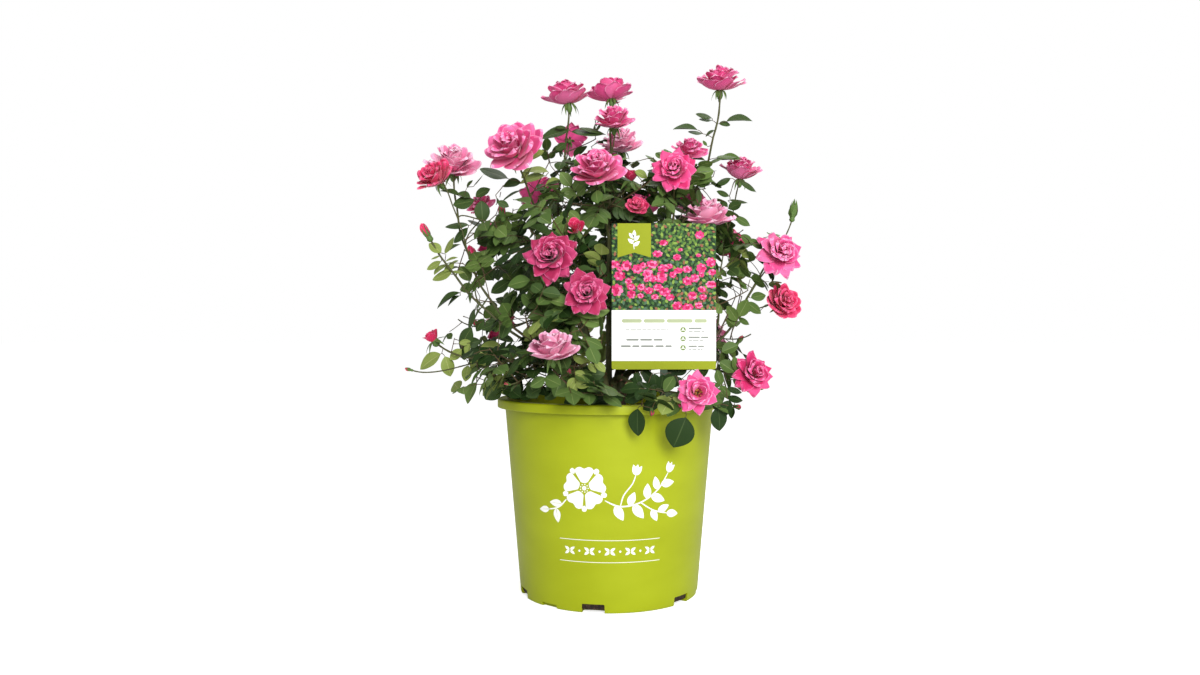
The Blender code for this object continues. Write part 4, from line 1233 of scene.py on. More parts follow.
def shoot_starts(cane):
    """(start, heading) of each shoot of a cane, side by side on its tip, towards their first flowers."""
    line = cane_line(cane)
    tip, heading = line[-1], (line[-1] - line[-2]).normalized()
    own = [shoot for shoot in SHOOTS if "cane_" + shoot.cane == cane.name]
    apart = Vector()
    if len(own) == 2:
        apart = square_to(heading, own[0].roses[0].place - own[1].roses[0].place) * STEM_SPACING
    return {shoot.name: (tip + heading * CLEARANCE + apart * hand, heading)
            for shoot, hand in zip(own, (1, -1))}


print("rules are ready")

# %% Grow stems, twigs and leaf places by the rule
GROWTH_SEED = 11
TRIES = 7
BARE_TWIG = 0.2  # the share of a line at its foot that has no leaves
BARE_STEM = 0.15
Growth = namedtuple("Growth", "shoot line taper parent share")  # a stem or twig and where it forks
Spot = namedtuple("Spot", "shoot line share heading facing length")  # where a whole leaf grows


def leaf_roots(points, bare_share, turn):
    """(share, point, direction, turn) of each leaf along a line beyond its bare foot, going round it."""
    count = max(1, round(length_of(points) * (1 - bare_share) / LEAF_SPACING))
    shares = [bare_share + (1 - bare_share) * (number + 0.6) / count for number in range(count)]
    return [(share, *point_on(points, share), turn + LEAF_TURN_DEG * number)
            for number, share in enumerate(shares)]


def grow_twig(shoot, stems, number, rng, own_shapes, taken):
    """The line of a side twig that has room, or None after some tries."""
    for _ in range(TRIES):
        line = twig_line(stems, number, shoot.twigs, rng)
        grown = stem_shape(line.points, TWIG, KEEP_CLEAR)
        beyond = stem_shape([line.points[0].lerp(line.points[1], 0.2)] + line.points[1:], TWIG, KEEP_CLEAR)
        if fits(grown, shoot.lowest, taken) and not clashes(beyond, own_shapes):
            return line
    return None


def grow_leaf(shoot, root, rng, own_shapes, taken):
    """The spot of a leaf that has room, or None after some tries."""
    for _ in range(TRIES):
        spot = leaf_spot(*root, rng)
        foot, along, facing, length = spot
        if not fits(leaf_shape(*spot, KEEP_CLEAR), shoot.lowest, taken):
            continue
        blade = leaf_shape(foot + along * LEAF_STALK, along, facing, length - LEAF_STALK, KEEP_CLEAR)
        if not clashes(blade, own_shapes):
            return spot
    return None


print("rules for single twigs and leaves are ready")


# %% Grow every shoot
def grow_stems(shapes):
    """The stems that carry the flowers. Their simple shapes go into shapes, shoot by shoot."""
    starts, stems = {}, []
    for cane in CANES:
        starts.update(shoot_starts(cane))
    for shoot in SHOOTS:
        start, heading = starts[shoot.name]
        main, *sides = flower_lines(shoot, start, heading)
        shapes[shoot.name] = [stem_shape(main.points, MAIN_STEM, heading=heading)]
        shapes[shoot.name] += [stem_shape(line.points, SIDE_STEM) for line in sides]
        stems.append(Growth(shoot, main, MAIN_STEM, None, None))
        stems += [Growth(shoot, line, SIDE_STEM, main, share) for line, share in zip(sides, SIDE_FORKS)]
    return stems


def grow_shoots():
    """Every stem and twig, and the place of every whole leaf, none touching another shoot or a solid."""
    rng = random.Random(GROWTH_SEED)
    shapes, wanted, spots = {}, [], []
    lines = grow_stems(shapes)

    def taken(shoot):
        return SOLIDS + ALL_FLOWERS + [s for name in shapes if name != shoot.name for s in shapes[name]]

    for shoot in SHOOTS:
        own = [growth.line for growth in lines if growth.shoot is shoot]
        twigs = []
        for number in range(shoot.twigs):
            line = grow_twig(shoot, own, number, rng, shapes[shoot.name], taken(shoot))
            if line:
                shapes[shoot.name].append(stem_shape(line.points, TWIG))
                twigs.append(line)
                lines.append(Growth(shoot, line, TWIG, own[number % len(own)], None))
        for some_lines, bare_share in ((twigs, BARE_TWIG), (own, BARE_STEM)):
            for line in some_lines:
                roots = leaf_roots(line.points, bare_share, rng.uniform(0, 360))
                wanted += [(shoot, line, root) for root in roots]
    rng.shuffle(wanted)
    room = {shoot.name: shoot.leaves for shoot in SHOOTS}
    for shoot, line, (share, *root) in wanted:
        if not room[shoot.name]:
            continue
        spot = grow_leaf(shoot, root, rng, shapes[shoot.name], taken(shoot))
        if spot:
            shapes[shoot.name].append(leaf_shape(*spot))
            spots.append(Spot(shoot, line, share, *spot[1:]))
            room[shoot.name] -= 1
    return lines, spots


grown_lines, leaf_spots = grow_shoots()
print(len(grown_lines), "stems and twigs,", len(leaf_spots), "whole leaves")

# %% [markdown]
# The CAD stops at about twenty leaves a shoot. The living bush goes on: short fine twigs fill the room
# between, each with a few smaller leaves. They follow the same rule with a seed of their own, and stay
# within the same outline. The sprays that hang open to the sky on the left get few of them.

# %% Grow the finer twigs
FINE_SEED = 23
FINE_TWIG = Taper(0.75 * MM, 0.55 * MM, 2)
FINE_LENGTH = (24 * MM, 46 * MM)
FINE_LEAF_SHARE = 0.82
FINE_BARE = 0.25
FINE_SAG = 0.1
FINE_COUNT = {  # finer twigs on a shoot
    "tall": 0, "left_mid": 2, "left_high": 2, "left_low": 3, "right_low": 4, "front_right": 2,
    "top_left": 3, "top_centre": 4, "upper_left": 4, "right_mid": 3, "right_shoulder": 5,
}
FINE_COUNT_ELSEWHERE = 7


def fine_twig(own, rng):
    """A short twig off one of a shoot's own lines."""
    parent = rng.choice(own).line
    share = rng.uniform(0.25, 0.95)
    fork, along = point_on(parent.points, share)
    side = Matrix.Rotation(rng.uniform(0, 2 * math.pi), 3, along) @ square_to(along, Vector((0.2, 0.1, 1)))
    heading = (along * 0.5 + side + UP * 0.2).normalized()
    line = twig_from(fork, heading, rng.uniform(*FINE_LENGTH), FINE_SAG, FINE_TWIG)
    return Growth(own[0].shoot, line, FINE_TWIG, parent, share)


fine_rng = random.Random(FINE_SEED)
fine_lines, fine_spots = [], []
for shoot in SHOOTS:
    own = [growth for growth in grown_lines if growth.shoot is shoot]
    for _ in range(FINE_COUNT.get(shoot.name, FINE_COUNT_ELSEWHERE)):
        for _ in range(TRIES):
            twig = fine_twig(own, fine_rng)
            if fits(stem_shape(twig.line.points, FINE_TWIG, KEEP_CLEAR), shoot.lowest, SOLIDS + ALL_FLOWERS):
                break
        else:
            continue
        fine_lines.append(twig)
        for share, *root in leaf_roots(twig.line.points, FINE_BARE, fine_rng.uniform(0, 360)):
            _, along, facing, length = leaf_spot(*root, fine_rng)
            fine_spots.append(Spot(shoot, twig.line, share, along, facing, length * FINE_LEAF_SHARE))
print(len(fine_lines), "finer twigs with", len(fine_spots), "more leaf places")

# %% [markdown]
# ## A rose leaf
# What looks like five leaves is one: a thin stalk with two pairs of leaflets and one at its end, some with
# one pair and some with three. Every leaflet is a pointed oval, folded a little along its midrib, with its
# tip bent down. So each leaf place becomes a stalk and a list of leaflet places.

# %% Divide each leaf into leaflets
Leaflet = namedtuple("Leaflet", "root heading facing length breadth", defaults=(1.0,))
LEAFLET_PAIRS = (((0.6, 0.38),), ((0.4, 0.33), (0.72, 0.39)), ((0.3, 0.27), (0.54, 0.34), (0.8, 0.36)))
PAIRS_WEIGHT = (0.22, 0.68, 0.1)
WHOLE_LEAF_SHARE = 1.22
STALK_SHARE = 0.58
STALK_STEPS = 5
END_LEAFLET_SHARE = 0.46
LEAFLET_SPREAD_DEG = (50, 74)
KINK_SPACING = 32 * MM
KINK_SHARE = 0.016
KINK_SIDE = Vector((0.9, 0.4, 0))
TALL_BOW = Vector((9, 0, 0)) * MM
tall_stem = next(growth.line for growth in grown_lines if growth.shoot.name == "tall")


def true_point(line, share):
    """The place on the living curve for a place on the coarse steps. It kinks where leaves sit."""
    length = (line.controls[3] - line.controls[0]).length
    zigzag = abs((share * length / KINK_SPACING) % 2 - 1) - 0.5
    bow = TALL_BOW if line is tall_stem else Vector()
    aside = KINK_SIDE * zigzag * length * KINK_SHARE + bow
    return on_curve(line.controls, share) + aside * math.sin(math.pi * share)


def whole_leaf(spot, rng):
    """(stalk points, leaflets) of one leaf."""
    size = spot.length * WHOLE_LEAF_SHARE
    root = true_point(spot.line, spot.share)
    reach = size * STALK_SHARE
    end = root + spot.heading * reach - UP * reach * rng.uniform(0.05, 0.2)
    stalk = curve_points((root, root + spot.heading * reach * 0.4 + UP * reach * 0.06,
                          end - spot.heading * reach * 0.3, end), STALK_STEPS)
    pairs = rng.choices(LEAFLET_PAIRS, PAIRS_WEIGHT)[0]
    tip_heading = (stalk[-1] - stalk[-2]).normalized() - UP * rng.uniform(0, 0.25)
    end_length = size * END_LEAFLET_SHARE * rng.uniform(0.9, 1.1)
    leaflets = [Leaflet(end, tip_heading.normalized(), spot.facing, end_length)]
    for share, size_share in pairs:
        place_on, along = point_on(stalk, share)
        facing = square_to(along, spot.facing)
        across = facing.cross(along)
        for hand in (-1, 1):
            spread = math.radians(rng.uniform(*LEAFLET_SPREAD_DEG))
            heading = turned(along, across * hand, spread) - UP * rng.uniform(0, 0.22)
            tipped = facing - across * hand * rng.uniform(-0.1, 0.35) + along * rng.uniform(-0.2, 0.2)
            length = size * size_share * rng.uniform(0.88, 1.12)
            leaflets.append(Leaflet(place_on, heading.normalized(), tipped, length))
    return stalk, leaflets


def has_room(leaflet, lowest):
    """Whether a leaflet keeps the outline and touches no solid and no flower."""
    root = leaflet.root + leaflet.heading * 2 * MM
    shape = leaf_shape(root, leaflet.heading, leaflet.facing, leaflet.length - 2 * MM)
    return fits(shape, lowest, SOLIDS + ALL_FLOWERS)


print("rules for leaflets are ready")

# %% [markdown]
# ## Windows onto the sky
# Sky shows through the bush where its sprays part. Each window is an oval in the front view: its middle
# across and up, its half width and half height, and the share of leaves that stays. Seen from the front
# camera it runs through the whole depth of the bush. Where no leaf stays, single leaflets of other leaves
# are left out too.

# %% Leave the windows open
WINDOW_PLANE = -10 * MM  # the depth at which the ovals are measured
SKY_WINDOWS = (
    (-183, 375, 28, 46, 0.2), (-213, 487, 26, 28, 0.15), (-204, 293, 30, 32, 0.25), (-142, 428, 30, 90, 0.65),
    (194, 482, 36, 28, 0.1), (174, 347, 36, 46, 0.3), (-101, 619, 28, 32, 0.0), (117, 600, 42, 46, 0.0),
    (184, 526, 26, 30, 0.1), (180, 560, 40, 30, 0.0), (-236, 430, 22, 60, 0.0), (-221, 347, 30, 24, 0.0),
    (-183, 334, 26, 38, 0.08), (-223, 265, 24, 24, 0.0), (-190, 262, 26, 24, 0.2), (-209, 461, 26, 22, 0.0),
    (-132, 537, 48, 26, 0.35), (60, 592, 30, 38, 0.0), (153, 498, 30, 28, 0.35), (212, 322, 42, 34, 0.0),
    (222, 290, 34, 34, 0.0), (190, 226, 40, 26, 0.0), (100, 214, 26, 26, 0.0), (56, 214, 24, 20, 0.0),
    (172, 236, 26, 22, 0.0), (116, 262, 16, 14, 0.3), (150, 218, 16, 14, 0.0), (147, 409, 11, 12, 0.0),
    (163, 375, 13, 13, 0.0), (187, 331, 22, 24, 0.0), (-120, 328, 30, 26, 0.5), (-150, 322, 20, 22, 0.6),
    (157, 311, 18, 18, 0.2), (-30, 566, 22, 16, 0.3), (-186, 437, 18, 18, 0.2), (-180, 250, 20, 20, 0.2),
    (-112, 500, 20, 18, 0.5), (-144, 515, 14, 10, 0.0), (-145, 324, 13, 9, 0.0), (-183, 264, 11, 8, 0.0),
    (-177, 436, 9, 8, 0.0), (140, 332, 6, 11, 0.0), (171, 456, 10, 6, 0.0), (-103, 508, 8, 5, 0.0),
    (-143, 544, 8, 7, 0.0), (128, 504, 8, 7, 0.0), (40, 544, 8, 5, 0.0), (149, 384, 8, 5, 0.0),
    (-120, 351, 7, 6, 0.0), (-204, 363, 8, 6, 0.0), (184, 416, 8, 8, 0.0), (72, 195, 28, 18, 0.0),
    (118, 196, 18, 20, 0.0))
EYE = Vector(CAMERA_PLACE)


def share_that_stays(point):
    """The share of leaves that stays at a point: the least of the windows it shows in."""
    seen = (EYE + (point - EYE) * (WINDOW_PLANE - EYE.y) / (point.y - EYE.y)) / MM
    return min([stays for x, z, half_width, half_height, stays in SKY_WINDOWS
                if math.hypot((seen.x - x) / half_width, (seen.z - z) / half_height) < 1], default=1)


leaf_rng, sky_rng = random.Random(31), random.Random(37)
stalks, sprays, leafy_reach = [], {}, {}
for spot in leaf_spots + fine_spots:
    stalk, leaflets = whole_leaf(spot, leaf_rng)
    stays = sky_rng.random() < share_that_stays(stalk[-1])
    kept = [leaflet for leaflet in leaflets if stays and has_room(leaflet, spot.shoot.lowest)
            and share_that_stays(leaflet.root + leaflet.heading * leaflet.length / 2) > 0]
    if kept:
        far = max((leaflet.root - stalk[0]).length for leaflet in kept)
        stalks.append([point for point in stalk if (point - stalk[0]).length <= far + 1e-6] or stalk[:2])
        sprays.setdefault(id(spot.line), (spot, []))[1].extend(kept)
        leafy_reach[id(spot.line)] = max(leafy_reach.get(id(spot.line), 0), spot.share)
grown_lines = [growth for growth in grown_lines if growth.taper is not TWIG or id(growth.line) in sprays]
fine_lines = [growth for growth in fine_lines if id(growth.line) in sprays]
for growth in fine_lines:
    leafy_reach[id(growth.parent)] = max(leafy_reach.get(id(growth.parent), 0), growth.share)
leaflet_count = sum(len(kept) for _, kept in sprays.values())
print(len(stalks), "leaves in", len(sprays), "sprays,", leaflet_count, "leaflets")
print(len(grown_lines), "stems and twigs and", len(fine_lines), "finer twigs carry them")


def living_end(growth):
    """The share of its line that a stem or twig keeps. A twig ends just past its last leaf or fork."""
    if growth.taper in (MAIN_STEM, SIDE_STEM):
        return 1
    return min(1, leafy_reach.get(id(growth.line), 1) + 0.03)


# %% [markdown]
# At the edge of the bush single leaflets show one by one against the sky or the pot, and give this plant its
# outline. These are listed: where each starts and ends in the front view, and how far it is turned from
# facing forward. A stalk then joins each to the nearest stem, twig or stalk.

# %% Set the leaflets at the edge
FREE_LEAFLETS = (  # where, depth in mm, tone, and for each: root and tip in mm, turn, and breadth if broad
    ("tall stem, upper leaves", 6, "dark", (
        (133, 604, 112, 610, 55), (133, 601, 116, 603, 62), (142, 597, 157, 597, 35),
        (152, 600, 185, 603, 60), (114, 589, 83, 592, 58), (121, 584, 102, 587, 62),
        (136, 589, 124, 582, 60))),
    ("tall stem, lower leaves", 4, "mid", (
        (128, 544, 147, 561, 66), (139, 553, 165, 561, 60), (143, 550, 170, 553, 55),
        (124, 549, 107, 552, 60), (126, 568, 121, 575, 40))),
    ("under the right rose", -10, "dark", (
        (155, 524, 134, 519, 55), (165, 521, 190, 513, 52), (153, 501, 137, 508, 50),
        (154, 496, 177, 493, 60))),
    ("right of the middle", -30, "light", (
        (131, 530, 104, 522, 20), (129, 522, 101, 514, 35), (106, 519, 74, 504, 25),
        (84, 522, 57, 512, 30))),
    ("under the left roses", -14, "dark", (
        (-171, 495, -198, 490, 30), (-176, 499, -193, 505, 40), (-190, 501, -214, 509, 62),
        (-169, 500, -152, 512, 30), (-162, 495, -160, 467, 12), (-171, 514, -159, 529, 68),
        (-180, 512, -174, 522, 50))),
    ("above the left bud", -20, "dark", (
        (-177, 463, -206, 469, 62), (-178, 460, -196, 441, 50), (-147, 440, -167, 441, 35),
        (-128, 522, -163, 535, 60), (-111, 517, -134, 513, 35), (-134, 493, -112, 511, 72))),
    ("round the left bud", -26, "young", (
        (-206, 427, -195, 448, 50), (-211, 428, -226, 441, 25), (-211, 417, -229, 407, 50),
        (-196, 405, -222, 394, 55), (-197, 404, -182, 407, 60), (-205, 417, -191, 424, 66),
        (-212, 424, -224, 423, 66))),
    ("left, open leaves", -22, "dark", (
        (-188, 378, -218, 360, 66), (-188, 374, -204, 362, 66), (-169, 358, -183, 335, 62),
        (-173, 334, -192, 309, 30), (-156, 341, -134, 335, 25), (-158, 345, -170, 331, 30),
        (-130, 344, -122, 377, 22), (-125, 393, -149, 378, 40), (-120, 316, -143, 325, 62))),
    ("lower left, pale leaves", -40, "young", (
        (-186, 314, -173, 319, 30), (-183, 307, -198, 294, 30), (-204, 298, -195, 274, 25),
        (-175, 287, -179, 267, 25), (-209, 301, -237, 285, 42), (-173, 314, -178, 299, 35),
        (-162, 305, -145, 298, 20), (-159, 310, -132, 311, 45), (-165, 297, -150, 284, 25))),
    ("lower left, dark leaves", -48, "dark", (
        (-136, 266, -153, 245, 0, 1.3), (-125, 271, -110, 246, 10, 1.25), (-127, 287, -103, 281, 25),
        (-111, 305, -132, 309, 60), (-157, 287, -172, 283, 50), (-152, 280, -138, 268, 25))),
    ("lower left, hanging leaf", -44, "light", (
        (-164, 266, -177, 240, 42),)),
    ("below the front roses", -140, "light", (
        (-47, 359, -72, 367, 40), (-40, 348, -69, 356, 35), (-39, 350, -1, 356, 38),
        (-34, 345, -8, 337, 30))),
    ("under the upper left rose", -40, "young", (
        (-76, 527, -106, 532, 58), (-80, 522, -112, 517, 55), (-98, 532, -111, 522, 40),
        (-61, 517, -80, 510, 40), (-81, 553, -97, 543, 35), (32, 528, 48, 521, 30))),
    ("across the top left stems", -26, "dark", (
        (-50, 581, -87, 576, 50), (-47, 580, -4, 577, 58), (-54, 585, -68, 586, 55),
        (-37, 584, -6, 586, 62), (-67, 557, -54, 566, 20), (-29, 547, -4, 555, 50))),
    ("over the pot's rim", -150, "deep", (
        (31, 242, 29, 211, 32), (85, 232, 72, 197, 0, 1.28), (56, 253, 36, 243, 25),
        (36, 261, 15, 252, 25))),
    ("over the rim, mid", -146, "mid", (
        (79, 259, 64, 233, 20), (72, 278, 61, 261, 25))),
    ("right edge of the rim", -118, "deep", (
        (125, 242, 130, 213, 12), (139, 249, 130, 231, 15), (136, 252, 154, 249, 45),
        (136, 263, 153, 258, 50), (143, 241, 140, 228, 40))),
    ("inside the rim", -110, "dark", (
        (-96, 270, -84, 251, 20), (-70, 273, -63, 252, 10), (-80, 263, -98, 253, 25),
        (-52, 268, -41, 252, 15), (-29, 266, -21, 251, 25), (-3, 263, 3, 249, 20),
        (-105, 267, -114, 252, 20), (-60, 262, -76, 250, 30), (-40, 262, -52, 249, 25))),
    ("before the stake", -100, "deep", (
        (52, 279, 57, 260, 15), (63, 278, 59, 256, 20), (30, 280, 35, 262, 25), (72, 279, 64, 262, 30))),
    ("under the label", -66, "deep", (
        (40, 281, 56, 268, 20), (62, 268, 46, 258, 10, 1.2), (66, 284, 82, 270, 15, 1.2),
        (88, 272, 72, 262, 25), (100, 283, 86, 296, 20), (34, 272, 22, 262, 25, 1.2),
        (58, 296, 72, 284, 30), (96, 262, 82, 254, 20), (112, 276, 98, 268, 20), (48, 292, 34, 284, 30),
        (80, 292, 94, 282, 25), (70, 300, 56, 290, 20), (106, 292, 118, 282, 20),
        (92, 290, 80, 276, 15, 1.2))),
    ("beside the right roses", -8, "mid", (
        (181, 372, 200, 378, 25), (176, 366, 194, 352, 30), (168, 452, 184, 440, 30),
        (178, 446, 196, 436, 40), (161, 475, 180, 464, 35), (141, 409, 150, 399, 30),
        (166, 393, 176, 383, 30), (165, 346, 179, 338, 40))),
    ("right of the label", -60, "mid", (
        (137, 304, 157, 313, 25), (134, 292, 153, 280, 20), (131, 282, 137, 263, 25),
        (151, 298, 157, 281, 30))),
)


print(sum(len(places) for *_, places in FREE_LEAFLETS), "leaflets to set")

# %% Join the leaflets at the edge to the bush
FRONT = Vector((0, -1, 0))
SEARCH_STEPS = 24
TOUCHING = 1.5 * MM


def flat_leaflet(depth, root_across, root_up, tip_across, tip_up, turn_deg, breadth=1.0):
    """A leaflet in the front plane at a depth, turned about its own length."""
    root = Vector((root_across, depth, root_up)) * MM
    way = Vector((tip_across, depth, tip_up)) * MM - root
    heading = way.normalized()
    edge = heading.cross(FRONT)
    if edge.z < 0:
        edge = -edge
    return Leaflet(root, heading, turned(FRONT, edge, math.radians(turn_deg)), way.length, breadth)


def distance_to(leaflet, pool):
    return min((point - leaflet.root).length for point in pool)


living_points = [true_point(growth.line, living_end(growth) * step / SEARCH_STEPS)
                 for growth in grown_lines + fine_lines for step in range(SEARCH_STEPS + 1)]
free_leaflets = {}
for where, depth, tone, places in FREE_LEAFLETS:
    made = [flat_leaflet(depth, *place) for place in places]
    made.sort(key=lambda leaflet: distance_to(leaflet, living_points))
    for leaflet in made:
        nearest = min(living_points, key=lambda point: (point - leaflet.root).length)
        reach = (nearest - leaflet.root).length
        if reach > TOUCHING:
            stalks.append(curve_points((nearest, nearest.lerp(leaflet.root, 0.35) + UP * reach * 0.08,
                                        leaflet.root - leaflet.heading * reach * 0.35, leaflet.root), 6))
            living_points += stalks[-1][1:]
    free_leaflets.setdefault(tone, []).extend(made)
    print(f"{where}: {len(made)} leaflets")

# %% Shape the leaflet
LEAFLET_ROWS = (0, 0.04, 0.1, 0.18, 0.28, 0.39, 0.5, 0.61, 0.72, 0.82, 0.9, 0.96, 1)
LEAFLET_HALF = (0.012, 0.08, 0.162, 0.244, 0.308, 0.346, 0.354, 0.336, 0.29, 0.218, 0.142, 0.066, 0.004)
LEAFLET_COLUMNS = (-1, -0.52, -0.04, 0.04, 0.52, 1)
LEAFLET_KINDS = (  # fold, droop, twist, roll of the edge
    (0.3, 0.16, 0.0, 0.1), (0.14, 0.3, 0.1, 0.22), (0.46, 0.08, -0.12, 0.05), (0.2, 0.02, 0.18, 0.16))


def leaflet_shape(fold, droop, twist, roll):
    """A blade one metre long along Y, facing up, in two halves with a narrow rib between them."""
    points = []
    for row, half in zip(LEAFLET_ROWS, LEAFLET_HALF):
        lean = twist * row
        for column in LEAFLET_COLUMNS:
            x = half * column
            ripple = 0.012 * math.sin(9 * row + 4 * column) * abs(column)
            z = fold * abs(x) - roll * x * x * 4 - droop * row * row + ripple
            points.append((x * math.cos(lean) - z * math.sin(lean) * 0.2, row, z + x * math.sin(lean)))
    return points, woven(len(LEAFLET_ROWS), len(LEAFLET_COLUMNS))


leaflet_kinds = lend_shapes("leaflet", [leaflet_shape(*kind) for kind in LEAFLET_KINDS])
for lent in leaflet_kinds.objects:
    rib = lent.data.attributes.new("rib", "BOOLEAN", "FACE")
    rib.data.foreach_set("value", [number % 5 == 2 for number in range(len(lent.data.polygons))])

# %% [markdown]
# ## Setting the leaflets
# Thousands of leaflets are a task for Geometry Nodes. Each leaflet place is one point of a helper mesh that
# carries its turn, its size and which of four shapes it takes. The tree sets the shapes on the points,
# makes them real and paints blade and rib. A whole spray takes one tone: deep inside the bush and lighter
# outside, which is partly painted shade and painted light, and yellow-green or bronze where growth is young.

# %% Build the leaflet tree


def leaflet_tree():
    """Sets blades on points by the attributes turn, grow and kind, then paints blades and ribs."""
    tree, given = new_tree("leaflets", Shapes="Collection", Blade="Material", Rib="Material")
    kinds = {"turn": "QUATERNION", "grow": "FLOAT_VECTOR", "kind": "INT", "rib": "BOOLEAN"}
    held = {name: add_node(tree, "GeometryNodeInputNamedAttribute", data_type=data_type, Name=name)
            for name, data_type in kinds.items()}
    placed = set_shapes(tree, given["Geometry"], given["Shapes"], Instance_Index=held["kind"],
                        Rotation=held["turn"], Scale=held["grow"])
    return close_tree(tree, placed, (given["Blade"], True), (given["Rib"], held["rib"]))


def leaflet_points(name, leaflets, rng):
    """A helper mesh with one point for each leaflet, carrying its turn, size and kind."""
    mesh = mesh_from(name, [leaflet.root for leaflet in leaflets], [])
    turns, sizes, kinds = [], [], []
    for leaflet in leaflets:
        facing = square_to(leaflet.heading, leaflet.facing)
        axes = Matrix((leaflet.heading.cross(facing), leaflet.heading, facing))
        turns.extend(axes.transposed().to_quaternion())
        sizes += [leaflet.length * leaflet.breadth, leaflet.length, leaflet.length]
        kinds.append(rng.randrange(len(LEAFLET_KINDS)))
    mesh.attributes.new("turn", "QUATERNION", "POINT").data.foreach_set("value", turns)
    mesh.attributes.new("grow", "FLOAT_VECTOR", "POINT").data.foreach_set("vector", sizes)
    mesh.attributes.new("kind", "INT", "POINT").data.foreach_set("value", kinds)
    return mesh


leaf_maker = leaflet_tree()
print("leaflet tree:", len(leaf_maker.nodes), "nodes")

# %% Deal out the tones and set the leaflets
# The deep and dark tones partly stand for painted shade deep in the bush and under the label. The light tone
# partly stands for painted light on the outer sprays.
LEAF_TONES = {  # blade, rib
    "deep": ((34, 56, 20), (58, 78, 36)),
    "dark": ((60, 82, 40), (92, 110, 60)),
    "mid": ((80, 104, 50), (116, 134, 74)),
    "light": ((100, 124, 62), (140, 156, 96)),
    "young": ((134, 150, 76), (166, 174, 108)),
    "bronze": ((74, 72, 40), (104, 86, 56)),
}
LEAF_GLOSS = 0.18
LEAF_RIPPLE = (0.12, 0.7)
YOUNG_SHOOTS = {"left_low": 0.55, "left_mid": 0.3, "right_mid": 0.3, "front_left": 0.15,
                "right_shoulder": 0.15, "right_low": 0.15}
BRONZE_SHOOTS = {"left_mid": 0.2, "left_high": 0.15}
TONE_SHIFT = {  # lighter where the sun reaches a shoot, darker in the shade
    "right_mid": 1.1, "right_shoulder": 1.1, "back_right_high": 1.1, "back_right_low": 1.1,
    "behind_label": 0.6, "right_low": 0.1, "upper_left": 0.6, "top_left": 0.9, "upper_right": 0.9,
    "top_centre": 0.9, "left_high": 0.5, "left_mid": 0.3, "front_mid": -0.2, "front_left": -0.15,
    "front_right": -0.7, "skirt_front": -0.5,
}


def tone_of(spot, rng):
    """The tone of a spray: darker inside the bush and lighter outside, partly painted shade and painted
    light, with a few young or bronze ones.
    """
    tip = spot.line.points[-1]
    outward = math.hypot(tip.x / REACH_ACROSS, tip.y / REACH_DEEP)
    pick = rng.random()
    if pick < YOUNG_SHOOTS.get(spot.shoot.name, 0.03) * outward * 1.4:
        return "young"
    if pick > 1 - BRONZE_SHOOTS.get(spot.shoot.name, 0):
        return "bronze"
    outward += TONE_SHIFT.get(spot.shoot.name, 0)
    weights = (1.4 - 1.3 * outward, 1.0, 0.35 + outward, 0.8 * outward - 0.15)
    return rng.choices(("deep", "dark", "mid", "light"), [max(weight, 0.02) for weight in weights])[0]


def living_finish(name, colour, scale, bump, roughness=0.5, gloss=0.3):
    """A leaf's or stem's skin: a plain tone, satin, with a fine bump."""
    return pattern(finish(name, colour, roughness, gloss), scale, 3, bump=bump)


tone_rng, kind_rng = random.Random(47), random.Random(53)
leaflets_by_tone = {tone: [] for tone in LEAF_TONES}
for spot, kept in sprays.values():
    leaflets_by_tone[tone_of(spot, tone_rng)].extend(kept)
for tone, (blade_colour, rib_colour) in LEAF_TONES.items():
    leaflets = leaflets_by_tone[tone] + free_leaflets.get(tone, [])
    blade = living_finish(f"leaf {tone}", blade_colour, 420, LEAF_RIPPLE, 0.52, LEAF_GLOSS)
    helper = leaflet_points(f"leaflet places {tone}", leaflets, kind_rng)
    leaves = grow_from(helper, leaf_maker, Shapes=leaflet_kinds, Blade=blade,
                       Rib=finish(f"leaf rib {tone}", rib_colour, 0.5, 0.3))
    add_piece(f"leaves_{tone}", leaves, nodes=["shoot_" + shoot.name for shoot in SHOOTS])
empty_collection(leaflet_kinds)

# %% [markdown]
# ## Stems, twigs and leaf stalks
# They are round and follow curves, so one tree turns every line into a tube: the lines are edges of a helper
# mesh whose points carry their thickness. Stems are green, and young twigs and leaf stalks are flushed red
# on the sunny side, so twigs and stalks take a redder green.

# %% Turn lines into tubes
STEM_SLIMNESS = 0.76  # the CAD's stems are a little thicker than the living ones
FOOT_SINK = 4 * MM
FORK_SWELL = 0.35
KNOT_SWELL = 0.07
STEM_STEPS = 22
TWIG_STEPS = 8
STALK_RADIUS = 0.62 * MM
STALK_THINS = 0.25 * MM


def tube_tree():
    """Tubes along the edges of a mesh, as thick as its attribute says."""
    tree, given = new_tree("tubes", Sides="Int", Material="Material")
    thickness = add_node(tree, "GeometryNodeInputNamedAttribute", data_type="FLOAT", Name="thickness")
    lines = add_node(tree, "GeometryNodeMeshToCurve", Mesh=given["Geometry"])
    circle = add_node(tree, "GeometryNodeCurvePrimitiveCircle", Resolution=given["Sides"], Radius=1.0)
    tubes = add_node(tree, "GeometryNodeCurveToMesh", Curve=lines, Profile_Curve=circle, Scale=thickness,
                     Fill_Caps=True)
    return close_tree(tree, tubes, (given["Material"], True))


def line_mesh(name, lines):
    """A helper mesh of (points, radii) lines."""
    points, edges, radii = [], [], []
    for line, line_radii in lines:
        edges += [(len(points) + k, len(points) + k + 1) for k in range(len(line) - 1)]
        points += line
        radii += line_radii
    mesh = mesh_from(name, points, [], edges)
    mesh.attributes.new("thickness", "FLOAT", "POINT").data.foreach_set("value", radii)
    return mesh


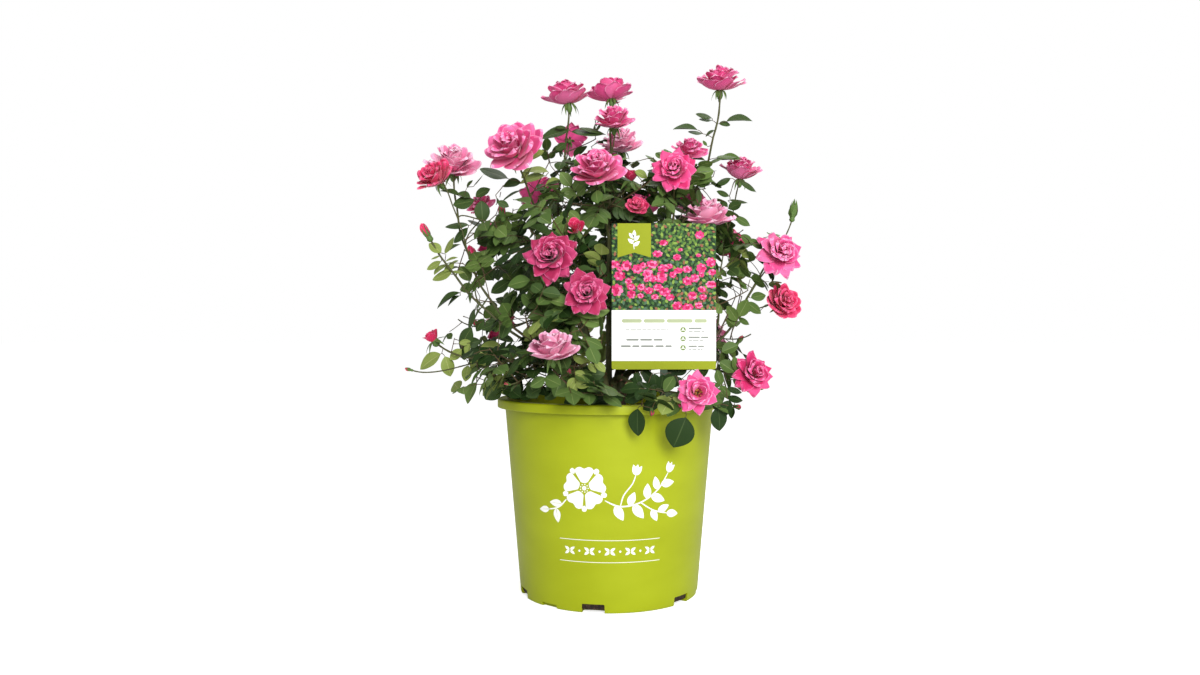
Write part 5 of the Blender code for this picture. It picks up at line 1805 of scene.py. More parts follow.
def living_line(growth, count):
    """A stem or twig as it grows: on its smooth curve, thicker where it forks, knotted at its leaves."""
    shares = [step / (count - 1) for step in range(count)]
    line = [true_point(growth.line, living_end(growth) * share) for share in shares]
    if growth.taper is MAIN_STEM:
        line[0] = line[0] - (line[1] - line[0]).normalized() * FOOT_SINK
    elif growth.share is not None:
        shift = true_point(growth.parent, growth.share) - line[0]
        line = [point + shift * (1 - share) for point, share in zip(line, shares)]
    radii = []
    for index, share in enumerate(shares):
        swell = FORK_SWELL * math.exp(-share * 30) + KNOT_SWELL * math.sin(share * 40 + index)
        even = growth.taper.foot + (growth.taper.tip - growth.taper.foot) * share
        radii.append(even * (STEM_SLIMNESS + swell))
    return line, radii


tubes = tube_tree()
green_stem = living_finish("green stem", (78, 80, 44), 500, (0.1, 0.6))
red_stem = living_finish("flushed stem", (86, 70, 46), 600, (0.08, 0.6))
all_lines = grown_lines + fine_lines
stem_lines = [living_line(growth, STEM_STEPS) for growth in all_lines
              if growth.taper in (MAIN_STEM, SIDE_STEM)]
twig_lines = [living_line(growth, TWIG_STEPS) for growth in all_lines
              if growth.taper in (TWIG, FINE_TWIG)]
stalk_lines = [(stalk, [STALK_RADIUS - STALK_THINS * k / len(stalk) for k in range(len(stalk))])
               for stalk in stalks]
for name, lines, sides, skin in (("stems", stem_lines, 8, green_stem), ("twigs", twig_lines, 5, red_stem),
                                 ("leaf_stalks", stalk_lines, 3, red_stem)):
    add_piece(name, grow_from(line_mesh(name, lines), tubes, Sides=sides, Material=skin))


# %% [markdown]
# ## The roses
# A double rose is a spiral of petals round a green hip. The outer ones lie flat and roll their edges back
# until they look pointed; further in they stand up and wrap round one another. One function makes a petal
# as a curved sheet from its length, width, lean, cup and rolled edge. A flower deals petals out by the
# golden angle, from the flat outer ones to the closed inner ones, each just inside the one before so that
# they nest. Each petal has plain tones: the face, and a lighter flank and a paler rolled edge, which are a
# painted highlight. On inner petals there is also a deep foot, which is painted shade in the heart of the
# rose.

# %% Shape one petal
GOLDEN_ANGLE = math.radians(137.5)
PETAL_ROWS = np.array((0, 0.12, 0.27, 0.43, 0.59, 0.74, 0.87, 0.955, 1.0))
ROUND_HALF = np.array((0.14, 0.36, 0.62, 0.86, 1.0, 1.0, 0.84, 0.56, 0.08))
POINTED_HALF = np.array((0.14, 0.38, 0.66, 0.9, 1.0, 0.84, 0.5, 0.22, 0.02))
PETAL_COLUMNS = np.array((-1, -0.9, -0.58, -0.2, 0.2, 0.58, 0.9, 1))
PETAL_FACES = woven(len(PETAL_ROWS), len(PETAL_COLUMNS))
# Petal zones: the deep foot is painted shade in the rose's heart. The lighter flank and pale edge are a
# painted highlight. A whole paler petal takes the lighter tone as its own colour.
SHADED_FOOT, FACE, PALE_AND_HIGHLIGHT, EDGE_HIGHLIGHT = range(4)
OVERLAP_TWIST = 0.17
Placing = namedtuple("Placing", "base axis across up")


def ramp(low, high, value):
    """A smooth step from 0 to 1 between two values."""
    share = np.clip((value - low) / (high - low), 0, 1)
    return share * share * (3 - 2 * share)


def petal_sheet(length, width, leans_deg, cup, roll, wave, rng, pointed=0.5):
    """Points of a petal as (side, out, up) rows and columns. It leans by three angles, at its foot, belly and
    tip, cups round a circle of cup times its width, rolls its edges back, and is turned a little about its
    own length, so that one edge lies over the next petal and the other edge under the last one."""
    along, across = PETAL_ROWS[:, None], PETAL_COLUMNS[None, :]
    lean = np.radians(np.interp(PETAL_ROWS, (0, 0.5, 1), leans_deg))
    middle, step = (lean[1:] + lean[:-1]) / 2, np.diff(PETAL_ROWS) * length
    out = np.concatenate(([0], np.cumsum(np.sin(middle) * step)))[:, None]
    up = np.concatenate(([0], np.cumsum(np.cos(middle) * step)))[:, None]
    half = (width / 2 * (ROUND_HALF * (1 - pointed) + POINTED_HALF * pointed))[:, None] * across
    circle = cup * width
    side = circle * np.sin(half / circle)
    lift = circle * (1 - np.cos(half / circle))
    edge = ramp(0.45, 1, np.abs(across)) * ramp(0.3, 0.95, along)
    side = side * (1 - 0.9 * roll * edge)
    lift = lift - roll * width * edge
    phase, count = rng.uniform(0, 2 * math.pi), rng.uniform(3, 5)
    lift = lift + wave * width * np.sin(phase + count * across) * along**2
    twist = OVERLAP_TWIST + rng.uniform(-0.05, 0.05)
    side, lift = side * np.cos(twist) - lift * np.sin(twist), lift * np.cos(twist) + side * np.sin(twist)
    return np.stack([side, out - np.cos(lean)[:, None] * lift, up + np.sin(lean)[:, None] * lift], axis=2)


def petal_tones(paler, throat_rows):
    """The tone of each face of a petal: painted shade at its foot, and a painted highlight on its flanks and
    edge.
    A paler petal is light nearly all over.
    """
    tones = np.full((len(PETAL_ROWS) - 1, len(PETAL_COLUMNS) - 1), PALE_AND_HIGHLIGHT if paler else FACE)
    tones[5:, [1, -2]] = PALE_AND_HIGHLIGHT
    tones[:throat_rows] = SHADED_FOOT
    tones[3:, [0, -1]] = EDGE_HIGHLIGHT
    tones[-1] = EDGE_HIGHLIGHT
    return tones.ravel().tolist()


def add_petal(petals, placing, turn, sheet, out_from_axis, rise, paler=False, throat_rows=0):
    """Sets a petal sheet on a flower at an angle round its axis."""
    radial = turned(placing.across, placing.up, turn)
    directions = np.array([placing.axis.cross(radial), radial, placing.axis])
    start = np.array(placing.base + radial * out_from_axis + placing.axis * rise)
    pour(petals, sheet.reshape(-1, 3) @ directions + start, PETAL_FACES, petal_tones(paler, throat_rows))


def mix_between(start, end, share):
    return start + (end - start) * share


print("petal of", len(PETAL_FACES), "faces")

# %% Wrap petals into roses and buds
Whorl = namedtuple("Whorl", "petals leans leans_last length width cup roll wave pointed throat_rows")
STAR_ROSE = (  # seen from above: a flat pointed outer ring, a cup of rounder petals, a muddled heart
    Whorl(12, (86, 76, 92), (70, 56, 74), (0.55, 0.48), (0.4, 0.42), 0.75, 0.26, 0.02, 1.15, 0),
    Whorl(13, (60, 38, 54), (34, 12, 26), (0.44, 0.4), (0.44, 0.38), 0.6, 0.1, 0.05, 0.45, 3),
    Whorl(9, (30, 6, 22), (10, -6, 6), (0.4, 0.36), (0.32, 0.24), 0.5, 0.08, 0.09, 0.3, 5))
BOWL_ROSE = (  # seen from the side: a flat underside, broad petals that rise, and a domed top
    Whorl(9, (94, 68, 50), (84, 56, 44), (0.54, 0.51), (0.46, 0.46), 0.8, 0.12, 0.015, 0.8, 0),
    Whorl(13, (70, 44, 42), (40, 18, 28), (0.49, 0.45), (0.42, 0.36), 0.6, 0.12, 0.05, 0.6, 0),
    Whorl(14, (32, 10, 30), (6, -6, 8), (0.46, 0.42), (0.3, 0.22), 0.5, 0.08, 0.08, 0.35, 3))
Wrap = namedtuple("Wrap", "petals foot tip length width loose")  # each from the outer to the inner petals
OPENING_BUD = Wrap(10, (48, 8), (34, 4), (0.86, 0.74), (0.86, 0.5), 6)
CLOSED_BUD = Wrap(6, (30, 20), (-30, -24), (1.3, 1.36), (0.95, 0.7), 3)
OPENING_FROM = 17 * MM


def add_open_rose(petals, size, placing, rng, whorls, openness):
    """Petals from the spread outer ones to the closed inner ones, whorl by whorl."""
    turn, number = rng.uniform(0, 2 * math.pi), 0
    for depth, whorl in enumerate(whorls):
        for place in range(whorl.petals):
            inward = place / (whorl.petals - 1)
            loose = rng.uniform(-1, 1) * (2 + 3 * depth)
            leans = [(mix_between(first, last, inward) + loose) * openness
                     for first, last in zip(whorl.leans, whorl.leans_last)]
            leans[2] += rng.uniform(-8, 8)
            length = size * mix_between(*whorl.length, inward) * rng.uniform(0.9, 1.06)
            width = size * mix_between(*whorl.width, inward) * rng.uniform(0.88, 1.1)
            cup, roll = whorl.cup * rng.uniform(0.9, 1.15), whorl.roll * rng.uniform(0.5, 1.3)
            sheet = petal_sheet(length, width, leans, cup, roll, whorl.wave, rng, whorl.pointed)
            around = turn + GOLDEN_ANGLE * number + rng.uniform(-1, 1) * (0.12 + 0.12 * depth)
            add_petal(petals, placing, around, sheet, size * (0.04 - 0.014 * depth), size * 0.02 * depth,
                      rng.random() < 0.34, whorl.throat_rows)
            number += 1


def add_bud(petals, size, placing, rng):
    """Petals wrapped round one another, looser in a half-open bud."""
    wrap = OPENING_BUD if size > OPENING_FROM else CLOSED_BUD
    turn = rng.uniform(0, 2 * math.pi)
    for number in range(wrap.petals):
        inward = number / (wrap.petals - 1)
        foot, tip, length, width = [mix_between(*ends, inward) for ends in wrap[1:5]]
        if wrap is OPENING_BUD:
            foot += rng.uniform(-3, 3)
        tip += rng.uniform(-wrap.loose, wrap.loose)
        sheet = petal_sheet(size * length, size * width, (foot, (foot + tip) / 2, tip),
                            mix_between(0.52, 0.42, inward), 0.03, 0.012, rng)
        away = size * mix_between(0.13, 0.03, inward)
        add_petal(petals, placing, turn + GOLDEN_ANGLE * number, sheet, away, size * 0.03 * inward)


print("an open rose has", sum(whorl.petals for whorl in BOWL_ROSE), "petals")

# %% [markdown]
# Under the petals sit the hip, a small green urn that becomes the fruit, and five sepals. On an open rose
# the sepals hang down; on a bud they clasp it and their tips stand past it. Only the widest-open roses show
# their ring of yellow-brown stamens.

# %% Shape hip, sepals and stamens
OPEN_HIP = ((-0.2, 0.02), (-0.17, 0.045), (-0.11, 0.066), (-0.05, 0.06), (-0.01, 0.052), (0.03, 0.075))
BUD_HIP = ((-0.42, 0.08), (-0.36, 0.2), (-0.2, 0.29), (-0.05, 0.24), (0.03, 0.27), (0.1, 0.24))
HIP_SIDES = 10
SEPAL_ROWS = (0, 0.18, 0.4, 0.62, 0.84, 1)
SEPAL_HALF = (0.55, 1, 0.86, 0.52, 0.26, 0.04)
STAMENS = 34
STAMEN_OUTLINE = ((0, 0.25), (0.8, 0.2), (0.86, 0.75), (1, 0.6))


def hip_shape(placing, size, profile):
    """A small turned urn on the flower's axis. The profile is (height, radius) in shares of the size."""
    return loft([ring_at(placing.base + placing.axis * height * size, placing.across, placing.up,
                         radius * size, HIP_SIDES) for height, radius in profile])


def sepal_shape(placing, turn, length, width, lean_deg, out_from_axis, rise):
    """A narrow pointed sepal with a raised midrib that bends from one lean to another."""
    radial = turned(placing.across, placing.up, turn)
    tangent = placing.axis.cross(radial)
    here = placing.base + radial * out_from_axis + placing.axis * rise
    points = []
    for before, row, half in zip((0,) + SEPAL_ROWS, SEPAL_ROWS, SEPAL_HALF):
        lean = math.radians(mix_between(*lean_deg, row))
        here = here + turned(placing.axis, radial, lean) * length * (row - before)
        inner = turned(-radial, placing.axis, lean) * 0.32
        points += [here + (tangent * side + inner * abs(side)) * half * width / 2 for side in (-1, 0, 1)]
    return points, woven(len(SEPAL_ROWS), 3)


def stamen_shape(placing, size, rng):
    """A thin stalk with a small club at its end."""
    turn, lean = rng.uniform(0, 2 * math.pi), math.radians(rng.uniform(8, 42))
    radial = turned(placing.across, placing.up, turn)
    along = turned(placing.axis, radial, lean).normalized()
    side = square_to(along, placing.across)
    foot = placing.base + radial * size * 0.02 + placing.axis * size * 0.05
    length = size * rng.uniform(0.1, 0.17)
    return loft([ring_at(foot + along * length * share, side, along.cross(side), radius * MM, 4)
                 for share, radius in STAMEN_OUTLINE])


print("hip, sepals and stamens are ready")

# %% Tones and the way each rose has opened
# Zone by zone: the foot tone is painted shade, and the light and edge tones are a painted highlight.
PETAL_TONES = {  # throat, face, light, edge
    "deep": ((116, 10, 46), (168, 36, 82), (186, 58, 106), (210, 102, 144)),
    "hot": ((164, 16, 66), (206, 44, 106), (222, 74, 134), (238, 118, 166)),
    "mid": ((190, 38, 94), (222, 76, 138), (234, 108, 162), (243, 150, 192)),
    "pale": ((218, 98, 148), (239, 143, 184), (244, 170, 200), (249, 197, 219)),
    "red": ((164, 16, 56), (212, 40, 90), (224, 66, 114), (236, 98, 140)),
}
# A rose seen from its side takes the next paler tone. This is partly the paler backs of its petals and partly
# painted light on their shaded undersides.
PALER_BACKS_AND_PAINTED_LIGHT = {"deep": "hot", "hot": "mid", "red": "mid", "mid": "pale", "pale": "pale"}
STAMENS_SHOW = ((97, -168), (28, 186))
GREEN_BUDS = ((237, 6),)  # still closed, its petals covered by the sepals
SEEN_AS = {  # by place across and deep: width share, lean, facing, and shift in mm
    (223, 8): (1.26, 72, 298, (2, -4, -2)), (213, -22): (1.08, 70, 292, (5, 0, 2)),
    (-217, -50): (1.2, 50, 240, (2, 0, -3)), (-195, 2): (1.42, 34, 288, (-3, 0, 9)),
    (24, 64): (1.26, 24, 262, (-7, -10, 2)), (-166, 32): (0.9, 40, 250, (-3, 0, 4)),
    (174, 22): (1.14, 14, 290, (-1, 0, -2)), (145, 0): (1.12, 10, 276, (-2, 0, 2)),
    (-53, -18): (1.1, 8, 200, (0, 0, 1)), (6, 32): (1.12, 12, 90, (-2, 0, 1)),
    (-61, -165): (1.12, 18, 268, (-3, 0, -5)), (104, 0): (1.06, 30, 280, (0, 0, 0)),
    (-115, -78): (1.14, 58, 250, (-3, 0, 1)), (121, -58): (1.06, 14, 268, (0, 0, -5)),
    (8, -22): (1.1, 24, 268, (-2, 0, -1)), (-16, -98): (1.12, 40, 264, (2, 0, -2)),
    (-64, -140): (1.04, 74, 262, (-4, 0, 1)), (97, -168): (0.9, 78, 272, (0, 0, 0)),
    (-218, -40): (1.28, 35, 200, (-2, 0, 2)), (196, 66): (0.8, 40, 20, (-16, 24, -14)),
    (-206, 60): (0.8, 40, 160, (26, 20, -12)),
}
NODDING_BELOW_DEG = 30  # leans so little that it shows its side and the paler backs of its petals
CUPPED_BELOW_DEG = 60
SWELLING_FROM = 13.5 * MM


def key_of(flower):
    """A flower's place across and deep in whole millimetres, by which the tables name it."""
    return round(flower.place.x / MM), round(flower.place.y / MM)


def seen_flower(flower):
    """The flower with the width, lean and place in which it has opened."""
    usual = (1 if flower.bud else 1.03, flower.tilt_deg, flower.facing_deg, (0, 0, 0))
    share, tilt, facing, shift = SEEN_AS.get(key_of(flower), usual)
    place = flower.place + Vector(shift) * MM
    return flower._replace(place=place, across=flower.across * share, tilt_deg=tilt, facing_deg=facing)


def openness_of(flower, rng):
    """How far a rose is open: a young red one least, one seen from its side a little less than most."""
    if flower.tone == "red":
        return 0.8
    return rng.uniform(*((0.93, 1.0) if flower.tilt_deg < NODDING_BELOW_DEG else (0.94, 1.04)))


def bud_sepals(size, green):
    """(lean from foot to tip, breadth) of a bud's sepals, which spread as it opens."""
    if green:
        return (34, -24), 0.86
    if size > OPENING_FROM:
        return (100, 130), 0.3
    return (40, -30), (0.3 if size > SWELLING_FROM else 0.5)


print(len(PETAL_TONES), "tones for", len(ALL_ROSES), "roses and buds")

# %% Deal the roses out
SEPALS = 5
petals_by_tone = {tone: Heap([], [], []) for tone in PETAL_TONES}
calyx, gold = Heap([], [], []), Heap([], [], [])


def dress_bud(flower, placing, green, rng):
    """A bud with its petals, its hip and its sepals."""
    size = flower.across
    add_bud(petals_by_tone[flower.tone], size, placing, rng)
    pour(calyx, *hip_shape(placing, size, BUD_HIP))
    lean, breadth = bud_sepals(size, green)
    for sepal in range(SEPALS):
        turn = 2 * math.pi * sepal / SEPALS + rng.uniform(-0.1, 0.1)
        length = size * rng.uniform(0.6, 0.75) * (1 + 2 * breadth)
        pour(calyx, *sepal_shape(placing, turn, length, size * breadth, lean, size * 0.2, size * 0.04))


def dress_rose(flower, placing, stamens_show, rng):
    """An open rose with its petals, its hip and its sepals, and its stamens where they show."""
    size = flower.across
    # A nodding rose is painted paler: partly for its petals' paler backs, and partly as painted light on
    # their shaded undersides.
    tone = PALER_BACKS_AND_PAINTED_LIGHT[flower.tone] if flower.tilt_deg < NODDING_BELOW_DEG else flower.tone
    whorls = BOWL_ROSE if flower.tilt_deg < CUPPED_BELOW_DEG or flower.tone == "red" else STAR_ROSE
    openness = openness_of(flower, rng)
    add_open_rose(petals_by_tone[tone], size, placing, rng, whorls[:2] if stamens_show else whorls, openness)
    pour(calyx, *hip_shape(placing, size, OPEN_HIP))
    for sepal in range(SEPALS):
        turn = 2 * math.pi * sepal / SEPALS + rng.uniform(-0.2, 0.2)
        length, droop = size * rng.uniform(0.22, 0.32), rng.uniform(165, 180)
        pour(calyx, *sepal_shape(placing, turn, length, size * 0.08, (120, droop), size * 0.05, 0))
    if stamens_show:
        for _ in range(STAMENS):
            pour(gold, *stamen_shape(placing, size, rng))


for number, usual in enumerate(ALL_ROSES):
    flower = seen_flower(usual)
    axis, across, up = flower_frame(flower)
    base = flower.place - axis * flower.across * (0.34 if flower.bud else 0.22)
    placing, rose_rng = Placing(base, axis, across, up), random.Random(100 + number)
    if flower.bud:
        dress_bud(flower, placing, key_of(usual) in GREEN_BUDS, rose_rng)
    else:
        dress_rose(flower, placing, key_of(usual) in STAMENS_SHOW, rose_rng)

for tone, petals in petals_by_tone.items():
    finishes = []
    for zone, colour in zip(("throat", "face", "light", "edge"), PETAL_TONES[tone]):
        skin = finish(f"petal {tone} {zone}", colour, 0.6, 0.25, Sheen_Weight=0.25, Sheen_Roughness=0.4)
        finishes.append(pattern(skin, 260, 1, bump=(0.05, 0.5)))
    petals_mesh = mesh_from(f"petals {tone}", petals.points, petals.faces)
    add_piece(f"petals_{tone}", petals_mesh, finishes)
    petals_mesh.polygons.foreach_set("material_index", petals.marks)
calyx_green = living_finish("calyx green", (88, 116, 56), 600, (0.08, 0.6), 0.55)
add_piece("hips_and_sepals", mesh_from("calyx", calyx.points, calyx.faces), [calyx_green])
stamen_gold = pattern(finish("stamens", (176, 128, 56), 0.6), 900, bump=(0.03, 0.5))
add_piece("stamens", mesh_from("stamens", gold.points, gold.faces), [stamen_gold])

# %% [markdown]
# ## The label
# The label is a stiff printed card on a flat stake. Its upper part is a picture of a shrub in flower, then
# comes a white panel and a band of the pot's green, with a swallowtail banner in the corner. No words or
# names are on it: short bars stand where text would be, and the picture is leaves and blossoms dealt out by
# a seed. The card is a rounded sheet cut into its printed fields, and ink lies a little proud of it.

# %% Make the card
CARD_CORNER = 2.5 * MM
CARD_TOP = LABEL_CENTRE.z + LABEL_HEIGHT / 2
CARD_LEFT = LABEL_CENTRE.x - LABEL_WIDTH / 2
CARD_FRONT = LABEL_CENTRE.y - LABEL_THICKNESS / 2
PICTURE_SHARE, PANEL_SHARE = 0.594, 0.942
PICTURE, BAND = 1, 2  # the card's materials, after the white


def down(share):
    """A height on the card, as a share of the way down from its top."""
    return CARD_TOP - LABEL_HEIGHT * share


def cut_through(shape, place, direction, **how):
    """Cuts through a whole shape along a plane."""
    bmesh.ops.bisect_plane(shape, geom=shape.verts[:] + shape.edges[:] + shape.faces[:], plane_co=place,
                           plane_no=direction, **how)


def card_mesh():
    """A rounded card, its front cut into the picture, the panel and the band."""
    outline = []
    for across, up, first in ((1, 1, 0), (-1, 1, 90), (-1, -1, 180), (1, -1, 270)):
        corner = complex(across * (LABEL_WIDTH / 2 - CARD_CORNER), up * (LABEL_HEIGHT / 2 - CARD_CORNER))
        outline += [corner + on_circle(first + 15 * step, CARD_CORNER) for step in range(7)]
    rings = [[(LABEL_CENTRE.x + p.real, y, LABEL_CENTRE.z + p.imag) for p in outline]
             for y in (CARD_FRONT + LABEL_THICKNESS, CARD_FRONT)]
    mesh = mesh_from("card", *loft(rings))
    shape = bmesh.new()
    shape.from_mesh(mesh)
    for share in (PICTURE_SHARE, PANEL_SHARE):
        cut_through(shape, (0, 0, down(share)), UP)
    shape.normal_update()
    for face in shape.faces:
        middle = face.calc_center_median().z
        if face.normal.y < -0.5 and middle > down(PICTURE_SHARE):
            face.material_index = PICTURE
        elif abs(face.normal.y) > 0.5 and middle < down(PANEL_SHARE):
            face.material_index = BAND
    return shape_into(mesh, shape)


def card_finish(name, colour):
    """Coated card: even ink with a faint tooth."""
    return pattern(finish(name, colour, 0.5, 0.12), 900, 2, rough=(0.44, 0.58), bump=(0.01, 0.5))


card_white = card_finish("card white", (250, 250, 247))
picture_ground = card_finish("picture shade", (20, 38, 24))
band_green = card_finish("band green", (152, 162, 34))
add_piece("card", card_mesh(), [card_white, picture_ground, band_green], ["label_card"],
          smooth=False)

# %% Print the bars, rules and dots
DOT_ACROSS = 85.5
DOT_ROWS = (127.4, 138.2, 149.0)


def print_on_card(name, drawing, proud_mm, material):
    """Lays a flat drawing, in millimetres from the card's top left corner, on its front."""
    points = [(CARD_LEFT + p.real * MM, CARD_FRONT - proud_mm * MM, CARD_TOP + p.imag * MM)
              for p in drawing.points]
    mesh = face_outwards(mesh_from(name, points, drawing.faces), lambda middle: FRONT)
    add_piece(name, mesh, [material], smooth=False)


def bar(drawing, left, right, middle, height):
    """A bar with rounded ends. Heights count down from the card's top."""
    radius = height / 2
    arc = [on_circle(22.5 * step, radius) for step in range(5)]
    edge = [left + radius - p.conjugate() for p in arc] + [right - radius + p for p in arc[::-1]]
    strip(drawing, [p.conjugate() - middle * 1j for p in edge], [p - middle * 1j for p in edge], 1)


def word_bars(drawing, left, right, middle, height, gap, rng):
    """Bars of uneven length along a line, where a line of words would be."""
    here = left
    while here < right - height * 2:
        length = min(rng.uniform(3, 8) * height, right - here)
        bar(drawing, here, here + length, middle, height)
        here += length + gap


word_rng = random.Random(61)
pale_ink, grey_ink, dot_ink, dot_marks = [Heap([], [], []) for _ in range(4)]
word_bars(pale_ink, 12, 114, 116.8, 4.4, 2.2, word_rng)
bar(grey_ink, 12.5, 74, 123.9, 0.3)
word_bars(grey_ink, 17, 68, 127.6, 1.0, 1.0, word_rng)
bar(grey_ink, 12.5, 74, 131.2, 0.3)
word_bars(grey_ink, 17.5, 65, 139.4, 2.3, 1.8, word_rng)
word_bars(grey_ink, 11, 72, 147.2, 2.3, 1.8, word_rng)
for row, middle in enumerate(DOT_ROWS):
    ink_dot(dot_ink, complex(DOT_ACROSS, -middle), 3.3)
    for turn in (90, 210, 330):
        ink_leaf(dot_marks, complex(DOT_ACROSS, -middle), turn, 2.5, 1.3, 0.0)
    word_bars(grey_ink, 92, 113 + row % 2 * 3, middle - 1.6, 2.0, 1.2, word_rng)
    word_bars(grey_ink, 92, 111 - row, middle + 2.4, 1.1, 0.8, word_rng)
print_on_card("label_heading", pale_ink, 0.05, card_finish("pale green ink", (176, 186, 148)))
print_on_card("label_lines", grey_ink, 0.05, card_finish("grey ink", (142, 147, 140)))
print_on_card("label_dots", dot_ink, 0.05, card_finish("dot green ink", (124, 144, 86)))
print_on_card("label_dot_marks", dot_marks, 0.08, card_white)

# %% [markdown]
# The picture is made by Geometry Nodes: a field a hair's breadth before the card is strewn with flat
# leaves, tone by tone, and each leaf is lifted by its own small height so that no two lie in one plane.
# Whatever passes the picture's edges is cut off. Small double flowers come on top.

# %% Strew the picture's leaves
WHOLE_PICTURE = (0, 0, 125, 104)
PICTURE_LEAVES = (  # name, colour, spacing, seed, depth from the card, and the part of the picture, all in mm
    ("label_leaves_deep", (24, 46, 26), 2.6, 1, 0.03, WHOLE_PICTURE),
    ("label_leaves_dark", (40, 70, 38), 3.4, 2, 0.08, WHOLE_PICTURE),
    ("label_leaves_mid", (66, 104, 50), 4.4, 3, 0.12, WHOLE_PICTURE),
    ("label_leaves_sunny", (98, 130, 54), 4.2, 7, 0.15, (60, 0, 118, 34)),
    ("label_leaves_blue", (80, 112, 86), 6.0, 4, 0.18, (0, 44, 125, 104)),
    ("label_leaves_light", (132, 160, 70), 8.0, 5, 0.2, WHOLE_PICTURE),
    ("label_leaves_young", (140, 90, 68), 10.5, 6, 0.2, WHOLE_PICTURE),
    ("label_leaves_flushed", (150, 96, 76), 5.0, 8, 0.2, (82, 84, 125, 104)),
)
PICTURE_MARGIN = 0.1 * MM
CLOSEST_PRINT = 900000.0  # leaves a square metre, before the spacing thins them out
ANY_TURN = (0, 0, 6.283)
LEAF_LIFT = 0.045 * MM


def flat_leaf(length, width):
    """A pointed leaf lying flat, its middle at the origin, in two halves."""
    outline = [(0, -0.5), (0.42, -0.16), (0.34, 0.2), (0, 0.5), (-0.34, 0.2), (-0.42, -0.16)]
    return [(x * width * MM, y * length * MM, 0) for x, y in outline], [(0, 1, 2, 3), (0, 3, 4, 5)]


def picture_field(deep_mm, part):
    """A part of the picture (left, top, right, bottom) as a helper mesh at a small distance from the card."""
    left, top, right, bottom = [edge * MM for edge in part]
    corners = [(CARD_LEFT + x, CARD_FRONT - deep_mm * MM, CARD_TOP - z)
               for x, z in ((left, bottom), (right, bottom), (right, top), (left, top))]
    return mesh_from("picture field", corners, [(0, 1, 2, 3)])


def trim_to_picture(mesh):
    """Cuts off whatever passes the picture's edges."""
    shape = bmesh.new()
    shape.from_mesh(mesh)
    for place, direction in (((CARD_LEFT + PICTURE_MARGIN, 0, 0), (-1, 0, 0)),
                             ((CARD_LEFT + LABEL_WIDTH - PICTURE_MARGIN, 0, 0), (1, 0, 0)),
                             ((0, 0, CARD_TOP - PICTURE_MARGIN), UP), ((0, 0, down(PICTURE_SHARE)), -UP)):
        cut_through(shape, place, direction, clear_outer=True)
    return shape_into(mesh, shape)


def flat_scatter_tree():
    """Lays shapes flat on a field, each turned at random and lifted by its own hair's breadth."""
    tree, given = new_tree("flat scatter", Shapes="Collection", Spacing="Float", Lift="Float", Seed="Int",
                           Material="Material")
    seed = given["Seed"]
    spots = add_node(tree, "GeometryNodeDistributePointsOnFaces", distribute_method="POISSON",
                     Mesh=given["Geometry"], Distance_Min=given["Spacing"], Density_Max=CLOSEST_PRINT,
                     Seed=seed)
    placed = set_shapes(tree, spots, given["Shapes"], Rotation=spots.outputs["Rotation"])
    around = random_value(tree, seed, "FLOAT_VECTOR", Max=ANY_TURN)
    spun = add_node(tree, "GeometryNodeRotateInstances", Instances=placed, Rotation=around)
    lift = add_node(tree, "ShaderNodeCombineXYZ", Z=random_value(tree, seed, Max=given["Lift"]))
    lifted = add_node(tree, "GeometryNodeTranslateInstances", Instances=spun, Translation=lift)
    return close_tree(tree, lifted, (given["Material"], True))


flat_kinds = lend_shapes("flat_leaf", [flat_leaf(5.2, 4.2), flat_leaf(4.2, 3.0), flat_leaf(6.2, 3.8)])
flat_scatter = flat_scatter_tree()
for name, colour, spacing, seed, deep, part in PICTURE_LEAVES:
    printed = grow_from(picture_field(deep, part), flat_scatter, Shapes=flat_kinds, Spacing=spacing * MM,
                        Lift=LEAF_LIFT, Seed=seed, Material=card_finish(name.replace("_", " "), colour))
    add_piece(name, trim_to_picture(printed), smooth=False)
empty_collection(flat_kinds)

# %% Deal out the picture's blossoms
PICTURE_FLOWERS = 46
FLOWER_SPACING = 0.33  # of the sum of two flowers' sizes
BANNER_CORNER = (52, 48)
PROUD = (0.26, 0.015, 0.012)  # of the card, more for each ring, and the most that chance adds, in mm
PINKS = ((190, 28, 84), (222, 62, 126), (236, 128, 172))
PICTURE_RINGS = (  # petals, reach and breadth in shares of the flower's size, and how often each tone comes
    (7, 0.5, 0.46, (0.3, 0.5, 0.2)), (6, 0.36, 0.38, (0.2, 0.4, 0.4)), (4, 0.2, 0.28, (0.7, 0.3, 0.0)))
FLAT_PETAL = ((0.05, 0), (0.55, -0.5), (0.9, -0.32), (1, 0), (0.9, 0.32), (0.55, 0.5))


def picture_spots(rng):
    """Yields (across, down, size) of flowers, thicker towards the middle, and none under the banner."""
    spots = []
    while len(spots) < PICTURE_FLOWERS:
        x, z = rng.uniform(3, 122), rng.uniform(12, 101)
        size = rng.uniform(4, 12) + z * 0.05
        crowded = any(math.hypot(x - a, z - b) < (size + s) * FLOWER_SPACING for a, b, s in spots)
        if crowded or (x < BANNER_CORNER[0] and z < BANNER_CORNER[1]):
            continue
        if rng.random() < 0.12 + 0.88 * math.exp(-(((z - 66 + 0.12 * (x - 62)) / 22) ** 2)):
            spots.append((x, z, size))
            yield x, z, size


